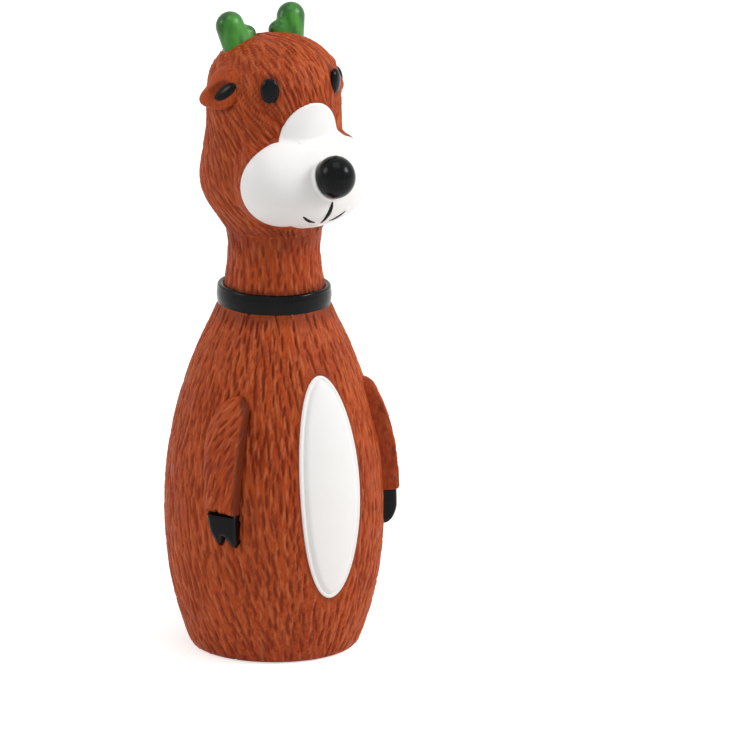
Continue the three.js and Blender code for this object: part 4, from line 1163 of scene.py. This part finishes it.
# %% The pierced cap
cap_curve = bpy.data.curves.new("squeaker_cap_outline", "CURVE")
cap_curve.dimensions, cap_curve.fill_mode = "2D", "BOTH"
cap_curve.extrude, cap_curve.bevel_depth, cap_curve.bevel_resolution = 0.00038, 0.00012, 2
CAP_RADIUS, HOLE_CIRCLE, HOLE_RADIUS, CAP_MIDDLE = 6.25, 3.6, 1.0, 0.0013
holes = [
    (HOLE_CIRCLE * math.cos(a), HOLE_CIRCLE * math.sin(a), HOLE_RADIUS, 28)
    for a in np.arange(6) * np.pi / 3
]
for centre_x, centre_y, circle_radius, steps in [(0, 0, CAP_RADIUS, 96)] + holes:
    spline = cap_curve.splines.new("POLY")
    spline.points.add(steps - 1)
    spline.use_cyclic_u = True
    for k in range(steps):
        turn = 2 * math.pi * k / steps
        x = MM * (centre_x + circle_radius * math.cos(turn))
        y = MM * (centre_y + circle_radius * math.sin(turn)) + AXIS_Y
        spline.points[k].co = (x, y, 0, 1)
cap_maker = add_object("cap_maker", cap_curve)
cap_mesh = bpy.data.meshes.new_from_object(cap_maker.evaluated_get(bpy.context.evaluated_depsgraph_get()))
bpy.data.objects.remove(cap_maker)
for vertex in cap_mesh.vertices:
    vertex.co.z += CAP_MIDDLE
cap_mesh.materials.clear()
cap_mesh.materials.append(PLASTIC)
cap = add_object("squeaker_pierced_cap", cap_mesh)
print("cap:", len(cap_mesh.polygons), "faces")

# %% The meshes that stay
kept_meshes = {"squeaker_reed_seat": PLASTIC, "squeaker_reed_clamp": PLASTIC, "squeaker_reed": REED}
for node_name, material in kept_meshes.items():
    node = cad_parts[node_name]
    node.data.materials.clear()
    node.data.materials.append(material)

# %% [markdown]
# The stuffing
#
# Loose polyester fibre fills the skin: dull, white and a little uneven, with a faint sheen. It is never
# seen, but it is there. Each block of fibre is a copy of the model's block with finer faces and a
# tufted surface.

# %% The fibre
FIBRE = mottled(
    "Loose white polyester fibre", "#ebe8e2", 0.95, ("#d8d4cc", "#f4f2ee"), patch=1.2, grain=1.2,
    strength=0.8, distance=0.0006, detail=5, Sheen_Weight=0.3,
)


def tufted_copy(node_name, name, seed):
    copy = bmesh.new()
    copy.from_mesh(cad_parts[node_name].data)
    bmesh.ops.remove_doubles(copy, verts=copy.verts, dist=0.000001)
    bmesh.ops.subdivide_edges(copy, edges=copy.edges, cuts=3, use_grid_fill=True)
    copy.normal_update()
    chance = np.random.default_rng(seed)
    for vertex, amount in zip(copy.verts, chance.uniform(0, 0.0007, len(copy.verts))):
        vertex.co -= vertex.normal * amount
    mesh = bpy.data.meshes.new(name)
    copy.to_mesh(mesh)
    copy.free()
    mesh.shade_smooth()
    mesh.materials.append(FIBRE)
    print(name, len(mesh.polygons), "faces")
    return add_object(name, mesh)


body_fibre = tufted_copy("body_stuffing", "fibre_in_body", 5)
head_fibre = tufted_copy("head_stuffing", "fibre_in_head", 6)

# %% [markdown]
# What each piece replaces and rides on
#
# Each finer piece stands for a node of the model, whose own mesh is hidden. The collar and the squeaker's
# cup and cap hang from an empty for the model's body, and the head's pieces from one for its head. The
# body's skin, the white oval, the fibre in the body, the arms, the hooves and the neck have their places
# baked into their meshes instead. The belly is pressed in by 7 mm. Points 25 mm and 12.5 mm in front of
# the axis, and on the axis at the collar and the chin, are worked out for that, but nothing here uses them.

# %% The rest of the pieces by the node that each one replaces
pieces |= {
    "body_shell": body_skin, "belly_patch": belly, "collar": collar, "neck_skin": neck_skin,
    "head_shell": head_skin, "muzzle": muzzle, "nose": nose, "squeaker_housing": housing,
    "squeaker_cap": cap, "body_stuffing": body_fibre, "head_stuffing": head_fibre,
}

# %% Riding, baking and replacing
pressed, still = in_the_row([0, -25, 38]), in_the_row([0, -12.5, 37])
collar_line, chin_line = in_the_row([0, 0, 83.5]), in_the_row([0, 0, 95.5])
on_the_belly = ["body_shell", "belly_patch", "body_stuffing"]
on_the_belly += ["arm_left", "arm_right", "hoof_left", "hoof_right"]
on_the_body = ["collar", "squeaker_housing", "squeaker_cap"]
for node_name, made in pieces.items():
    if node_name in on_the_belly:
        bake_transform(made)
        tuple(pressed)
        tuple(still)
    elif node_name == "neck_skin":
        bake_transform(made)
        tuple(collar_line)
        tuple(chin_line)
    else:
        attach(made, "body" if node_name in on_the_body else "head")
    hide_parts(node_name)
print(len(pieces), "nodes are replaced by finer pieces")

# %% [markdown]
# The floor and the light
#
# The toy stands on white card in a bright studio. The floor adds its own white only for the camera and
# for reflections, so it looks white, still takes the toy's soft shadow and throws no extra light on the
# toy. That white grows with the distance, because the lamps don't reach far out. A large soft lamp to
# the right of the camera is the main light, and a weaker one on the left and one above fill it in.

# %% The floor
def seen_straight(tree):
    """1 where a surface is looked at, mirrored or seen through, 0 where it would only light others."""
    rays = add(tree, "ShaderNodeLightPath").outputs
    looked_at = {0: rays["Is Camera Ray"], 1: rays["Is Glossy Ray"]}
    seen = add(tree, MATH, looked_at, operation="MAXIMUM")
    return add(tree, MATH, {0: seen, 1: rays["Is Transmission Ray"]}, operation="MAXIMUM")


card, tree, shader, where = new_material("Matt white card", "#f4f2f0", 0.9, Specular_IOR_Level=0)
from_toy = add(tree, VECTOR_MATH, {0: where}, operation="LENGTH").outputs["Value"]
own_white = add(tree, RANGE, {0: from_toy, 1: 0.3, 2: 1.2, 3: 0.58, 4: 0.8})
glow = add(tree, MATH, {0: seen_straight(tree), 1: own_white}, operation="MULTIPLY")
feed(shader, {"Emission Color": (1, 1, 1, 1), "Emission Strength": glow})
floor_mesh = bpy.data.meshes.new("floor")
floor_mesh.from_pydata([(-6, -6, 0), (6, -6, 0), (6, 6, 0), (-6, 6, 0)], [], [(0, 1, 2, 3)])
floor_mesh.materials.append(card)
add_object("floor", floor_mesh)

# %% The lamps and the world
def soft_lamp(name, azimuth, elevation, distance, size, watts):
    """A square lamp that faces the toy, at an azimuth seen from the front."""
    turn, rise = math.radians(azimuth), math.radians(elevation)
    data = bpy.data.lights.new(name, "AREA")
    data.shape, data.size, data.energy = "SQUARE", size, watts
    place = np.array([0, AXIS_Y, 0.07]) + distance * towards(turn, rise)
    add_object(name, data, place, (math.pi / 2 - rise, 0, turn))


soft_lamp("main_softbox", 45, 34, 0.9, 0.27, 4.2)
soft_lamp("left_softbox", -112, 30, 0.9, 0.3, 1.8)
soft_lamp("top_softbox", -30, 78, 0.9, 0.5, 1.6)

world = bpy.data.worlds.new("Bright studio")
bpy.context.scene.world = world
world.use_nodes = True
tree = world.node_tree
strength = add(tree, RANGE, {0: seen_straight(tree), 3: 0.37, 4: 1})
feed(tree.nodes["Background"], {"Color": (1, 1, 1, 1), "Strength": strength})
bpy.context.scene.view_settings.view_transform = "Standard"
print(len(bpy.data.lights), "lamps, and a world of white")
